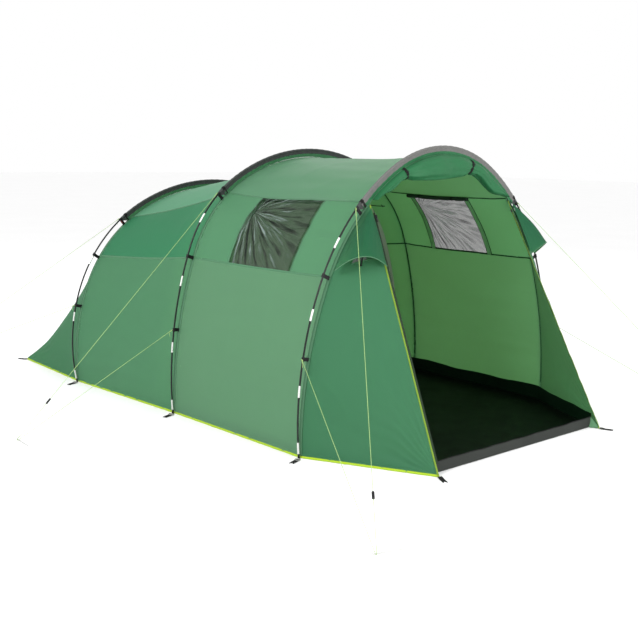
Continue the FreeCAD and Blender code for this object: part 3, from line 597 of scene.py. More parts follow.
@dataclass
class Patch:
    """A grid of surface points with their outward normals and cloth distances."""

    points: Points
    normals: Points
    uv: Points

    @classmethod
    def sewn(cls, points: Points, normals: Points, plane: Optional[list] = None) -> "Patch":
        """A patch whose cloth distances are worked out."""
        uv = points[..., plane].copy() if plane else np.stack([running(points, 0), running(points, 1)], -1)
        return cls(points, np.broadcast_to(normals, points.shape), uv)

    def mirrored(self, side: Side) -> "Patch":
        """This patch on the given side of X = 0."""
        return Patch(self.points * side.flip, self.normals * side.flip, self.uv)

    def moved(self, heights: object) -> "Patch":
        """The patch with each point moved out by its height, or all by one height."""
        lift = self.normals * np.asarray(heights)[..., None]
        return Patch(self.points + lift, self.normals, self.uv)

    def area(self) -> float:
        """Surface area in square metres."""
        p = self.points
        first = np.cross(p[1:, :-1] - p[:-1, :-1], p[:-1, 1:] - p[:-1, :-1])
        second = np.cross(p[1:, :-1] - p[1:, 1:], p[:-1, 1:] - p[1:, 1:])
        return float((np.linalg.norm(first, axis=-1) + np.linalg.norm(second, axis=-1)).sum() / 2)

    def cut(self) -> tuple:
        """Width and length of the rectangle that it is cut from, and its area."""
        width = float(running(self.points, 0)[-1].max())
        length = float(running(self.points, 1)[:, -1].max())
        return (width, length), min(self.area(), width * length)


class Bag:
    """Collects the faces of one mesh."""

    def __init__(self) -> None:
        """Start with nothing."""
        self.vertices: list = []
        self.faces: list = []
        self.uvs: list = []
        self.marks: list = []
        self.materials: list = []
        self.count = 0

    def mark(self, material: Material) -> int:
        """The slot number of a material."""
        if material not in self.materials:
            self.materials.append(material)
        return self.materials.index(material)

    def grid(self, points: Points, uv: Points, material: Material, wrap: bool = False,
             flip: bool = False) -> None:
        """Add a grid of quads.

        Args:
            points: (n, m, 3) points.
            uv: (n, m, 2) cloth distances.
            material: its finish.
            wrap: join the last column back to the first.
            flip: turn the faces over.
        """
        n, m = points.shape[:2]
        base, number = self.count, self.mark(material)
        self.vertices.append(points.reshape(-1, 3))
        self.count += n * m
        for i in range(n - 1):
            for j in range(m if wrap else m - 1):
                k = (j + 1) % m
                quad = [(i, j), (i + 1, j), (i + 1, k), (i, k)]
                if flip:
                    quad.reverse()
                self.faces.append([base + a * m + b for a, b in quad])
                self.uvs.append([uv[a, b if b or not wrap or b == j else -1] for a, b in quad])
                self.marks.append(number)

    def shell(self, patch: Patch, thickness: float, outside: Material,
              inside: Optional[Material] = None) -> None:
        """Add a patch as a closed thin shell.

        Args:
            patch: the outer surface.
            thickness: how far in the inner surface lies.
            outside: the outer finish.
            inside: the inner finish, if it differs.
        """
        p = patch.points
        inner = p - patch.normals * thickness
        turned = np.cross(p[1:, :-1] - p[:-1, :-1], p[:-1, 1:] - p[:-1, :-1])
        flip = float((turned * patch.normals[:-1, :-1]).sum()) < 0
        self.grid(p, patch.uv, outside, flip=flip)
        self.grid(inner, patch.uv, inside or outside, flip=not flip)
        loops = [(p[:, 0], inner[:, 0], patch.uv[:, 0]), (inner[:, -1], p[:, -1], patch.uv[:, -1]),
                 (inner[0], p[0], patch.uv[0]), (p[-1], inner[-1], patch.uv[-1])]
        for first, second, uv in loops:
            self.grid(np.stack([first, second], 1), np.stack([uv, uv + thickness], 1), outside, flip=not flip)

    def sweep(self, path: Points, across: Points, up: Points, section: Points,
              material: Material, caps: bool = True) -> None:
        """Add a closed section carried along a path.

        Args:
            path: (n, 3) centres.
            across: (n, 3) or (3,) first direction of the section.
            up: (n, 3) or (3,) second direction.
            section: (m, 2), or (n, m, 2) where it changes along the path.
            material: its finish.
            caps: close both ends.
        """
        count = len(path)
        section = np.broadcast_to(section, (count,) + section.shape[-2:])
        across, up = (np.broadcast_to(v, (count, 3)) for v in (across, up))
        points = path[:, None] + section[..., :1] * across[:, None] + section[..., 1:] * up[:, None]
        round_way = np.linalg.norm(np.diff(section[0], axis=0, append=section[0][:1]), axis=-1)
        u = np.concatenate([[0], np.cumsum(round_way)[:-1]])
        v = running(path)
        uv = np.stack(np.broadcast_arrays(u[None, :], v[:, None]), -1)
        x, y = section[0][:, 0], section[0][:, 1]
        turn = float((x * np.roll(y, -1) - np.roll(x, -1) * y).sum())
        flip = turn * float(np.dot(np.cross(across[0], up[0]), path[1] - path[0])) > 0
        base = self.count
        self.grid(points, uv, material, wrap=True, flip=flip)
        if caps:
            m = points.shape[1]
            number = self.mark(material)
            for ring, reverse in ((0, flip), (count - 1, not flip)):
                face = [base + ring * m + j for j in range(m)]
                self.faces.append(face if not reverse else face[::-1])
                spots = section[ring] if not reverse else section[ring][::-1]
                self.uvs.append(list(spots))
                self.marks.append(number)

    def tube(self, path: Points, radius: object, material: Material, sides: int = 10,
             caps: bool = True) -> None:
        """Add a round tube along a path.

        Args:
            path: (n, 3) centres.
            radius: one radius or one for each centre.
            material: its finish.
            sides: points round it.
            caps: close both ends.
        """
        heading = along(path)
        hint = vec(0, 0, 1) if abs(heading[0][2]) < 0.9 else vec(1, 0, 0)
        across = [unit(np.cross(heading[0], hint))]
        for way in heading[1:]:
            across.append(unit(across[-1] - way * np.dot(across[-1], way)))
        across = np.array(across)
        radii = np.broadcast_to(radius, (len(path),))[:, None, None]
        self.sweep(path, across, np.cross(heading, across), circle(sides) * radii, material, caps)

    def bar(self, centre: Points, axes: Points, size: Sequence[float], material: Material,
            bevel: float = 0.2) -> None:
        """Add a block with rounded ends and corners.

        Args:
            centre: its middle.
            axes: three unit rows: length, width and thickness.
            size: length, width and thickness.
            material: its finish.
            bevel: corner size as a share of the smaller side.
        """
        long, wide, thick = size
        cut = bevel * min(wide, thick)
        corners = [(1, 1, 0), (1, 1, 1), (-1, 1, 1), (-1, 1, 0),
                   (-1, -1, 0), (-1, -1, 1), (1, -1, 1), (1, -1, 0)]
        section = np.array([(sx * (wide / 2 - cut * swap), sy * (thick / 2 - cut * (1 - swap)))
                            for sx, sy, swap in corners])
        stops = np.array([-0.5 * long, -0.5 * long + cut, 0.5 * long - cut, 0.5 * long])
        scale = np.array([1 - 2 * cut / thick * 0.6, 1.0, 1.0, 1 - 2 * cut / thick * 0.6])
        path = np.asarray(centre) + stops[:, None] * axes[0]
        self.sweep(path, axes[1], axes[2], section[None] * scale[:, None, None], material)

    def make(self, name: str, flat_faces: bool = False) -> Piece:
        """Turn the faces into an object.

        Args:
            name: the object's name.
            flat_faces: leave hard facets instead of smooth shading.

        Returns:
            The object, in the scene.
        """
        mesh = bpy.data.meshes.new(name)
        mesh.from_pydata(np.concatenate(self.vertices).tolist(), [], self.faces)
        for material in self.materials:
            mesh.materials.append(material)
        mesh.polygons.foreach_set("material_index", self.marks)
        mesh.polygons.foreach_set("use_smooth", [not flat_faces] * len(self.faces))
        layer = mesh.uv_layers.new(name="UVMap")
        layer.data.foreach_set("uv", np.concatenate([np.asarray(uv, float) for uv in self.uvs]).ravel())
        mesh.validate()
        if not flat_faces:
            mesh.set_sharp_from_angle(angle=math.radians(50))
        made = bpy.data.objects.new(name, mesh)
        bpy.context.scene.collection.objects.link(made)
        return made


def settle(piece: Piece, nodes: Sequence[str] = ()) -> Piece:
    """Hand a finished piece to the frame, riding on the tent's body.

    Args:
        piece: the object.
        nodes: CAD nodes that it stands for.

    Returns:
        The same object.
    """
    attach(piece, BODY)
    if nodes:
        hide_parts(*nodes)
    LOG.info("%s: %d faces", piece.name, len(piece.data.polygons) if piece.type == "MESH" else 0)
    return piece


def shells(name: str, nodes: Sequence[str], layers: Sequence[tuple]) -> Piece:
    """A piece made of thin shells.

    Args:
        name: the piece's name.
        nodes: CAD nodes that it stands for.
        layers: a patch, its thickness and its finishes for each shell.

    Returns:
        The piece.
    """
    bag = Bag()
    for layer in layers:
        bag.shell(*layer)
    return settle(bag.make(name), nodes)


def piping(name: str, lines: Sequence[Points], radius: float, finish: Material,
           sides: int = 6) -> Piece:
    """A piece made of thin round cords of cloth.

    Args:
        name: the piece's name.
        lines: the paths that they follow.
        radius: their radius.
        finish: their finish.
        sides: points round each.

    Returns:
        The piece.
    """
    bag = Bag()
    for line in lines:
        bag.tube(line, radius, finish, sides)
    return settle(bag.make(name))


def declare(piece: Piece, patches: Sequence[Patch]) -> None:
    """Work out the rectangles that a sheet's patches are cut from.

    Args:
        piece: the sheet; not used.
        patches: its parts.
    """
    cuts = [patch.cut() for patch in patches]


def dress(node: str, material: Material) -> None:
    """Give a CAD node its finish.

    Args:
        node: the node's name.
        material: its finish.
    """
    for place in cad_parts[node].material_slots:
        place.material = material
    LOG.info("%s: finished as %s", node, material.name)


class Waves:
    """Seeded smooth relief made of slanted waves."""

    def __init__(self, seed: int, length: float, stretch: Sequence[float] = (1, 1, 1),
                 count: int = 16) -> None:
        """Pick the waves.

        Args:
            seed: picks them.
            length: middle wavelength in metres.
            stretch: how fast they run along each axis.
            count: how many.
        """
        rng = np.random.default_rng(seed)
        speed = 2 * math.pi / (length * rng.uniform(0.65, 1.6, count))
        self.vectors = unit(rng.normal(size=(count, 3))) * speed[:, None] * np.array(stretch)
        self.phases = rng.uniform(0, 2 * math.pi, count)

    def at(self, points: Points) -> Points:
        """Height of the waves at points, about -1 to 1."""
        return np.sin(points @ self.vectors.T + self.phases).sum(-1) / math.sqrt(len(self.phases))

    def ridged(self, points: Points) -> Points:
        """Narrow crests at the waves' zero lines, from 0 to 1."""
        return np.exp(-6.0 * np.abs(self.at(points)))


SOFT = Waves(11, 0.55)
DRAG = Waves(12, 0.16, (1, 0.22, 1))
CREASE = Waves(13, 0.42, (1, 0.7, 1))
PUCKER = Waves(14, 0.3)


# ---- hoops

@dataclass(frozen=True)
class Arch:
    """Half an arch in the X-Z plane: arcs of centre x, centre z, radius, start and end angle."""

    arcs: tuple

    @property
    def length(self) -> float:
        """Length from the foot to the crown."""
        return sum(radius * (end - start) for _, _, radius, start, end in self.arcs)

    def at(self, stations: Points, inset: float = 0.0) -> tuple:
        """Places and normals at distances along the whole arch, from the +X foot.

        Args:
            stations: distances.
            inset: how far inside the arch.

        Returns:
            (n, 2) places and (n, 2) outward normals, as x and z.
        """
        stations = np.atleast_1d(np.asarray(stations, float))
        side = np.where(stations > self.length, -1.0, 1.0)
        run = np.where(stations > self.length, 2 * self.length - stations, stations)
        places, normals = np.zeros((len(run), 2)), np.zeros((len(run), 2))
        done = 0.0
        for index, (cx, cz, radius, start, end) in enumerate(self.arcs):
            length = radius * (end - start)
            last = index == len(self.arcs) - 1
            inside = (run >= done - 1e-9) & ((run < done + length) | last)
            angle = start + (run[inside] - done) / radius
            normals[inside] = np.stack([np.cos(angle), np.sin(angle)], -1)
            places[inside] = vec(cx, cz) + normals[inside] * (radius - inset)
            done += length
        places[:, 0] *= side
        normals[:, 0] *= side
        return places, normals

    def station(self, height: float) -> float:
        """Distance along the arch at which it reaches a height."""
        done = 0.0
        for _, cz, radius, start, end in self.arcs:
            if height <= cz + radius * math.sin(end):
                return done + radius * (math.asin((height - cz) / radius) - start)
            done += radius * (end - start)
        return done


@dataclass(frozen=True)
class Hoop:
    """One pole hoop and the line of the fly under it."""

    name: str
    y: float
    half_width: float
    lean: float
    leg_turn: float
    leg_radius: float
    shoulder_turn: float
    shoulder_radius: float
    side_height: float
    roof_height: float
    sleeve_height: float
    clip_height: float
    pole_to_fly: float = 0.055
    foot_to_hem: float = 0.014
    hem_top: float = 0.009

    @property
    def pole(self) -> Arch:
        """The pole's centre line."""
        begin = -math.radians(self.lean)
        knee = begin + math.radians(self.leg_turn)
        shoulder = knee + math.radians(self.shoulder_turn)
        arcs = []
        x, z = self.half_width, 0.0
        for start, end, radius in ((begin, knee, self.leg_radius), (knee, shoulder, self.shoulder_radius)):
            cx, cz = x - radius * math.cos(start), z - radius * math.sin(start)
            arcs.append((cx, cz, radius, start, end))
            x, z = cx + radius * math.cos(end), cz + radius * math.sin(end)
        radius = x / math.cos(shoulder)
        return Arch((*arcs, (0.0, z - radius * math.sin(shoulder), radius, shoulder, math.pi / 2)))

    @property
    def fly(self) -> Arch:
        """The fly's line: the pole's arcs moved in, closing in on the pole at its foot."""
        _, shoulder, crown = self.pole.arcs
        upper = (*shoulder[:2], shoulder[2] - self.pole_to_fly, *shoulder[3:])
        top = (*crown[:2], crown[2] - self.pole_to_fly, *crown[3:])
        nx, nz = math.cos(shoulder[3]), math.sin(shoulder[3])
        jx, jz = upper[0] + upper[2] * nx, upper[1] + upper[2] * nz
        across, down = self.half_width - self.foot_to_hem - jx, -jz
        radius = -(across ** 2 + down ** 2) / (2 * (across * nx + down * nz))
        cx, cz = jx - radius * nx, jz - radius * nz
        start = math.atan2(-cz, self.half_width - self.foot_to_hem - cx)
        return Arch(((cx, cz, radius, start, shoulder[3]), upper, top))

    @property
    def hem(self) -> float:
        """Station of the fly's lower edge."""
        return self.fly.station(self.hem_top)

    @property
    def side(self) -> float:
        """Station of the side seam."""
        return self.fly.station(self.side_height)

    @property
    def roof(self) -> float:
        """Station of the roof seam."""
        return self.fly.station(self.roof_height)

    @property
    def band(self) -> tuple:
        """Stations of the upper side band's two edges."""
        return self.side, self.roof

    @property
    def sleeve(self) -> float:
        """Pole station of the sleeve's lower end."""
        return self.pole.station(self.sleeve_height)

    def spread(self, arch: Arch, stations: Points, inset: float = 0.0) -> tuple:
        """Points and outward normals in the hoop's plane.

        Args:
            arch: the hoop's pole or fly line.
            stations: distances along it.
            inset: how far inside it.

        Returns:
            (n, 3) points and (n, 3) normals.
        """
        flat = np.zeros(np.size(stations))
        places, normals = arch.at(stations, inset)
        points = np.stack([places[:, 0], flat + self.y, places[:, 1]], -1)
        return points, np.stack([normals[:, 0], flat, normals[:, 1]], -1)

    def row(self, first: float, last: float, count: int, inset: float = 0.0) -> tuple:
        """Evenly spaced fly points between two stations, with their outward normals."""
        return self.spread(self.fly, np.linspace(first, last, count), inset)

    def whole(self, first: float) -> tuple:
        """A station and its mirror image on the far side."""
        return first, 2 * self.fly.length - first

    def pole_row(self, stations: Points, out: float = 0.0) -> tuple:
        """Points off the pole's centre line and outward normals at stations."""
        return self.spread(self.pole, stations, -out)


FRONT = Hoop("front", -1.434, 1.234, 6.2, 28.9, 2.181, 37.1, 1.453, 1.101, 1.549, 1.543, 0.618)
MIDDLE = Hoop("middle", -0.088, 1.260, 5.1, 24.5, 2.760, 40.0, 0.969, 1.101, 1.549, 1.573, 0.605)
REAR = Hoop("rear", 1.190, 1.326, 12.8, 32.6, 1.365, 42.9, 1.190, 1.000, 1.300, 1.311, 0.620)
HOOPS = (FRONT, MIDDLE, REAR)
FRONT_CORNER = vec(0.826, -2.212, 0.009)
REAR_CORNER = vec(1.263, 2.212, 0.009)


# ---- guy lines

@dataclass(frozen=True)
class GuyLine:
    """A line from the sleeve's end round its peg and back to the low clip."""

    hoop: Hoop
    side: Side
    peg: tuple
    diameter: float = 0.003
    peg_radius: float = 0.003
    peg_height: float = 0.007
    anchor_offset: float = 0.0105
    strap_drop: float = 0.042
    bend_lead: float = 0.018

    @property
    def name(self) -> str:
        """The node's name."""
        return f"{self.hoop.name}_guy_line_{self.side.word}"

    def anchor(self, station: float) -> Points:
        """A tying point just outside the pole."""
        points, _ = self.hoop.pole_row(vec(station), self.anchor_offset)
        return points[0] * self.side.flip

    def ends(self) -> tuple:
        """Upper anchor, peg centre and lower anchor."""
        upper = self.anchor(self.hoop.sleeve - self.strap_drop)
        lower = self.anchor(self.hoop.pole.station(self.hoop.clip_height))
        return upper, vec(*self.peg, self.peg_height), lower

    def route(self) -> list:
        """The line's points from the upper anchor to the lower one."""
        upper, peg, lower = self.ends()
        rise, fall = unit(upper - peg), unit(lower - peg)
        outer, across = -unit(rise + fall), unit(rise - fall)
        reach = self.peg_radius + self.diameter / 2 + 0.0001
        half = math.acos(float(np.dot(rise, fall))) / 2
        spread = reach * (1 - math.sin(half)) / math.cos(half)
        first = peg + outer * reach + across * spread
        last = peg + outer * reach - across * spread
        return [upper, first + unit(upper - first) * self.bend_lead, first, last,
                last + unit(lower - last) * self.bend_lead, lower]

    def knot(self, at: Points, toward: Points, end: str) -> Piece:
        """Wraps of cord and a short tail at one anchor.

        Args:
                at: the anchor.
            toward: the direction in which the line leaves.
            end: "upper" or "lower".

        Returns:
            The knot.
        """
        bag = Bag()
        way = unit(toward)
        side = unit(np.cross(way, BACKWARD))
        top = np.cross(side, way)
        turn = np.linspace(0, 6.6 * math.pi, 66)
        radius = self.diameter * (0.9 + 0.25 * np.sin(turn / 2.1))
        wraps = at + way * (0.006 + turn[:, None] * 0.00085) + radius[:, None] * (
            np.cos(turn)[:, None] * side + np.sin(turn)[:, None] * top)
        cord = CORD_BRAID.material
        bag.tube(wraps, self.diameter * 0.45, cord, 8)
        drop = np.linspace(0, 1, 10)[:, None]
        tail = wraps[-1] + drop * (vec(0, 0, -0.034) + side * 0.006) + way * 0.006 * np.sin(drop * math.pi)
        bag.tube(tail, self.diameter * 0.45, cord, 8)
        return settle(bag.make(f"{self.name}_{end}_knot"))

    def build(self) -> None:
        route = self.route()
        data = bpy.data.curves.new(self.name + "_cord", "CURVE")
        data.dimensions = "3D"
        spline = data.splines.new("NURBS")
        spline.points.add(len(route) - 1)
        for point, place in zip(spline.points, route):
            point.co = (*place, 1.0)
        spline.order_u = 3
        spline.use_endpoint_u = True
        spline.resolution_u = 24
        data.bevel_depth = self.diameter / 2
        data.bevel_resolution = 3
        data.use_fill_caps = True
        data.materials.append(CORD_BRAID.material)
        line = bpy.data.objects.new(self.name + "_cord", data)
        bpy.context.scene.collection.objects.link(line)
        settle(line, [self.name])
        knots = [self.knot(route[0], route[1] - route[0], "upper"),
                 self.knot(route[-1], route[-2] - route[-1], "lower")]
        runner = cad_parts[f"{self.hoop.name}_guy_runner_{self.side.word}"]


GUY_LINES = (
    GuyLine(FRONT, Side.LEFT, (-1.903, -2.775)), GuyLine(FRONT, Side.RIGHT, (1.587, -2.780)),
    GuyLine(MIDDLE, Side.LEFT, (-2.396, -0.034)), GuyLine(MIDDLE, Side.RIGHT, (2.396, -0.034)),
    GuyLine(REAR, Side.LEFT, (-2.084, 2.597)), GuyLine(REAR, Side.RIGHT, (2.084, 2.597)),
)


# ---- stage

@dataclass(frozen=True)
class Stage:
    """Camera, lights, world and the plain pale floor."""

    location: tuple = (-5.0323, -5.8472, 1.8585)
    azimuth: float = -41.78
    elevation: float = 9.65
    roll: float = 1.04
    lens: float = 55.83
    sensor: float = 36.0
    sky: tuple = (1.0, 1.0, 1.0)
    sky_strength: float = 1.0
    floor: tuple = (0.97, 0.97, 0.97)
    floor_reach: float = 60.0
    key: tuple = (-7.5, -2.0, 5.5, 3.2, 420.0)
    front: tuple = (0.6, -6.5, 2.0, 3.0, 170.0)
    back: tuple = (5.0, 6.5, 6.0, 3.5, 160.0)

    def build(self) -> None:
        """Set up everything that isn't part of the tent."""
        self.aim_camera()
        for name, (x, y, z, size, power) in (("key", self.key), ("front", self.front), ("back", self.back)):
            self.add_light(name, Vector((x, y, z)), size, power)
        world = bpy.data.worlds.new("studio")
        world.use_nodes = True
        background = world.node_tree.nodes["Background"]
        background.inputs["Color"].default_value = (*self.sky, 1.0)
        background.inputs["Strength"].default_value = self.sky_strength
        bpy.context.scene.world = world
        bpy.context.scene.view_settings.view_transform = "Standard"
        self.lay_floor()

    def aim_camera(self) -> None:
        """Place the camera."""
        az, el, roll = (math.radians(a) for a in (self.azimuth, self.elevation, self.roll))
        back = Vector((math.sin(az) * math.cos(el), -math.cos(az) * math.cos(el), math.sin(el)))
        right = Vector((math.cos(az), math.sin(az), 0))
        up = back.cross(right)
        turned = right * math.cos(roll) + up * math.sin(roll)
        risen = up * math.cos(roll) - right * math.sin(roll)
        camera = bpy.data.objects.new("camera", bpy.data.cameras.new("camera"))
        camera.data.lens = self.lens
        camera.data.sensor_width = self.sensor
        camera.data.clip_end = 200
        turn = Matrix((turned, risen, back)).transposed().to_4x4()
        camera.matrix_world = Matrix.Translation(self.location) @ turn
        bpy.context.scene.collection.objects.link(camera)
        bpy.context.scene.camera = camera

    @staticmethod
    def add_light(name: str, place: Vector, size: float, power: float) -> None:
        """Add a square soft light aimed at the tent.

        Args:
            name: the light's name.
            place: where it hangs.
            size: its side.
            power: watts.
        """
        lamp = bpy.data.lights.new(name, "AREA")
        lamp.shape, lamp.size, lamp.energy = "SQUARE", size, power
        light = bpy.data.objects.new(name, lamp)
        light.location = place
        light.rotation_euler = (Vector((0, 0, 0.8)) - place).to_track_quat("-Z", "Y").to_euler()
        bpy.context.scene.collection.objects.link(light)

    def lay_floor(self) -> None:
        """Pale matt floor under the tent."""
        graph = Graph("studio_floor")
        cloud = graph.noise(graph.place(), 0.8, 2.0)
        tone = graph.blend(cloud, rgba(self.floor, 0.98), rgba(self.floor, 1.02))
        matt = graph.principled({"Base Color": tone, "Roughness": 0.9, "Specular IOR Level": 0.1})
        corners = np.array([[(x, y, 0) for y in (-1, 1)] for x in (-1, 1)], float) * self.floor_reach
        bag = Bag()
        bag.grid(corners, corners[..., :2], graph.finish(matt))
        floor = bag.make("studio_floor", flat_faces=True)
        floor.location.z = -0.0005


# ---- fly

@dataclass(frozen=True)
class Relief:
    """How far the cloth of the fly leaves the straight panel."""

    sag: float = 0.022
    soft: float = 0.0055
    drag: float = 0.0022
    crease: float = 0.0028
    pucker: float = 0.0022

    def shape(self, patch: Patch, share: Points, span: float, ends: tuple = (True, True)) -> Patch:
        """Sag the patch between its hoops and wrinkle it.

        Args:
            patch: the straight panel.
            share: how far along the bay each column is, from 0 to 1.
            span: the bay's length in metres.
            ends: whether each end of the bay is held by a hoop.

        Returns:
            The shaped patch.
        """
        spots = patch.points
        lift = smooth(spots[..., 2], 0.02, 0.55)
        hold = smooth(spots[..., 2], 0.015, 0.12)
        near, far = share * span, (1 - share) * span
        for held, away in zip(ends, (near, far)):
            if held:
                hold = hold * smooth(away, 0.0, 0.16)
        height = -self.sag * 4 * share * (1 - share) * lift
        height = height + hold * (self.soft * SOFT.at(spots) + self.drag * DRAG.at(spots)
                                  + self.crease * (CREASE.ridged(spots) - 0.3))
        for held, away in zip(ends, (near, far)):
            if held:
                fade = np.exp(-away / 0.09) * smooth(away, 0.0, 0.03) * smooth(spots[..., 2], 0.03, 0.1)
                ruck = np.sin(patch.uv[..., 0] * 2 * math.pi / 0.062 + 2.4 * PUCKER.at(spots))
                height = height + self.pucker * fade * ruck * (1.2 + PUCKER.at(spots * 1.7))
        return patch.moved(height)


@dataclass(frozen=True)
class Tape:
    """A strip sewn over a seam."""

    finish: ClothFinish
    width: float
    rows: int
    end_gap: float
    lift: float
    thickness: float


OUTER_TAPE = Tape(SEAM_TAPE, 0.013, 4, 0.0, 0.0009, 0.0016)
INNER_TAPE = Tape(INSIDE_SEAM, 0.010, 3, 0.004, -0.0022, 0.0012)


@dataclass
class Fly:
    """The sewn outer tent: roof, side bands, corners and back."""

    relief: Relief = Relief()
    cell: float = 0.022
    cloth_thickness: float = 0.0018
    corner_rise: float = 0.014
    window_start: float = 0.26
    window_end: float = 0.72
    ridge_pull: float = 0.075
    hem_width: float = 0.015
    hem_thickness: float = 0.0032

    def count(self, length: float) -> int:
        """Number of points over a length of cloth."""
        return max(4, int(round(length / self.cell)) + 1)

    def bay(self, hoop_a: Hoop, hoop_b: Hoop, ends_a: tuple, ends_b: tuple, span: tuple = (0.0, 1.0),
            side: Side = Side.RIGHT) -> Patch:
        """A panel between two hoops, shaped.

        Args:
            hoop_a: where the bay starts.
            hoop_b: where it ends.
            ends_a: first and last station on hoop_a.
            ends_b: the same on hoop_b.
            span: the part of the bay that it covers.
            side: which side it is on.

        Returns:
            The patch, seam to seam.
        """
        across = self.count(ends_a[1] - ends_a[0])
        row_a, normal_a = hoop_a.row(*ends_a, across)
        row_b, normal_b = hoop_b.row(*ends_b, across)
        length = abs(hoop_b.y - hoop_a.y)
        share = np.linspace(*span, self.count(length * (span[1] - span[0])))
        patch = self.between(row_a, normal_a, row_b, normal_b, share)
        return self.relief.shape(patch.mirrored(side), share[None, :], length)

    @staticmethod
    def between(row_a: Points, normal_a: Points, row_b: Points, normal_b: Points, share: Points) -> Patch:
        """Straight threads from one row to another.

        Args:
            row_a: (n, 3) start of each thread.
            normal_a: their normals.
            row_b: (n, 3) end of each thread.
            normal_b: their normals.
            share: how far along the threads the columns lie.

        Returns:
            The patch.
        """
        t = share[None, :, None]
        normals = unit(mix(normal_a[:, None], normal_b[:, None], t))
        return Patch.sewn(mix(row_a[:, None], row_b[:, None], t), normals)

    def panel(self, name: str, patches: Sequence[Patch], panel_light: Tint) -> None:
        """Args:
            name: its CAD node.
            patches: its parts, side by side.
            panel_light: its painted light and shade.
        """
        faces = fly_cloth(panel_light)
        layers = [(patch, self.cloth_thickness, *faces) for patch in patches]
        declare(shells(name + "_cloth", [name], layers), patches)

    def build(self) -> None:
        """Make every panel, seam and edge of the fly."""
        # Painted light and shade: each panel's cloth is lighter on the roofs and darker on the side bands,
        # rear walls and porch walls.
        self.panel("front_bay_roof", [self.roof_bay(MIDDLE, FRONT)], Tint.ROOF)
        self.panel("rear_bay_roof", [self.roof_bay(REAR, MIDDLE)], Tint.REAR_ROOF)
        self.panel("rear_wall", [self.back_wall()], Tint.SKIRT)
        for side in Side:
            self.build_side(side)
        self.build_inside_seams()
        self.build_hem()

    def roof_bay(self, hoop_a: Hoop, hoop_b: Hoop) -> Patch:
        """The roof from one roof seam over to the other."""
        return self.bay(hoop_a, hoop_b, hoop_a.whole(hoop_a.roof), hoop_b.whole(hoop_b.roof))

    def build_side(self, side: Side) -> None:
        """Side bands, corner fans and seams of one side."""
        word = side.word
        uppers = [self.bay(MIDDLE, FRONT, MIDDLE.band, FRONT.band, span, side)
                  for span in ((0.0, self.window_start), (self.window_end, 1.0))]
        self.panel(f"front_bay_upper_side_{word}", uppers, Tint.BAND)
        for name, hoop_a, hoop_b, panel_light in (("front_bay_lower", MIDDLE, FRONT, Tint.PLAIN),
                                           ("rear_bay_upper", REAR, MIDDLE, Tint.REAR_BAND),
                                           ("rear_bay_lower", REAR, MIDDLE, Tint.REAR)):
            ends = [hoop.band if panel_light is Tint.REAR_BAND else (hoop.hem, hoop.side) for hoop in (hoop_a, hoop_b)]
            self.panel(f"{name}_side_{word}", [self.bay(hoop_a, hoop_b, *ends, side=side)], panel_light)
        self.panel(f"rear_corner_{word}", [self.rear_fan().mirrored(side)], Tint.SKIRT)
        self.panel(f"porch_wall_{word}", [self.front_fan().mirrored(side)], Tint.PORCH)
        self.build_seams(side)

    def fan(self, hoop: Hoop, corner: Points, sag: float) -> tuple:
        """Fan of cloth from a hoop's leg to a hem corner on the +X side.

        Args:
            hoop: the hoop.
            corner: the hem corner.
            sag: how far its middle hangs in.

        Returns:
            The patch and its column shares.
        """
        count = self.count(hoop.roof - hoop.hem)
        leg, normals = hoop.row(hoop.hem, hoop.roof, count)
        tip = corner + unit(leg[-1] - corner) * np.linspace(0, self.corner_rise, count)[:, None]
        wall = fan_normal(hoop, corner)
        share = np.linspace(0, 1, self.count(float(np.linalg.norm(leg[0] - corner)) * 1.6))
        patch = self.between(leg, (normals + wall) * 0.5, tip, np.broadcast_to(wall, leg.shape), share)
        across = np.linspace(0, 1, count)[:, None]
        bow = 4 * share * (1 - share) * plateau(across, 0.2, 0.25)
        hold = plateau(share, 0.18, 0.2) * plateau(across, 0.1, 0.08)
        spots = patch.points
        ray = np.sin(across * 46 + 2.0 * PUCKER.at(spots)) * smooth(share, 0.25, 0.85)
        rumple = 0.006 * SOFT.at(spots) + 0.003 * (CREASE.ridged(spots) - 0.3) + 0.0018 * ray
        return patch.moved(hold * rumple - sag * bow), share

    def rear_fan(self) -> Patch:
        """The rear corner, its ridge drawn in by the slack of the cloth."""
        patch, share = self.fan(REAR, REAR_CORNER, 0.03)
        across = np.linspace(0, 1, patch.points.shape[0])[:, None]
        pull = self.ridge_pull * self.ridge_dip(share)[None, :] * across ** 1.7
        patch.points = patch.points + self.ridge_inward() * pull[..., None]
        return patch

    def front_fan(self) -> Patch:
        """The porch wall from the front hoop's leg to the doorway's edge."""
        return self.fan(FRONT, FRONT_CORNER, 0.02)[0]

    @staticmethod
    def ridge_dip(share: Points) -> Points:
        """Shape of the ridge's dip along its length, deepest at two thirds."""
        return 6.75 * share ** 2 * (1 - share)

    @staticmethod
    def ridge_inward() -> Points:
        """Direction in which the +X rear ridge is drawn in."""
        return unit(-fan_normal(REAR, REAR_CORNER) - vec(0, 0.75, 0.45))

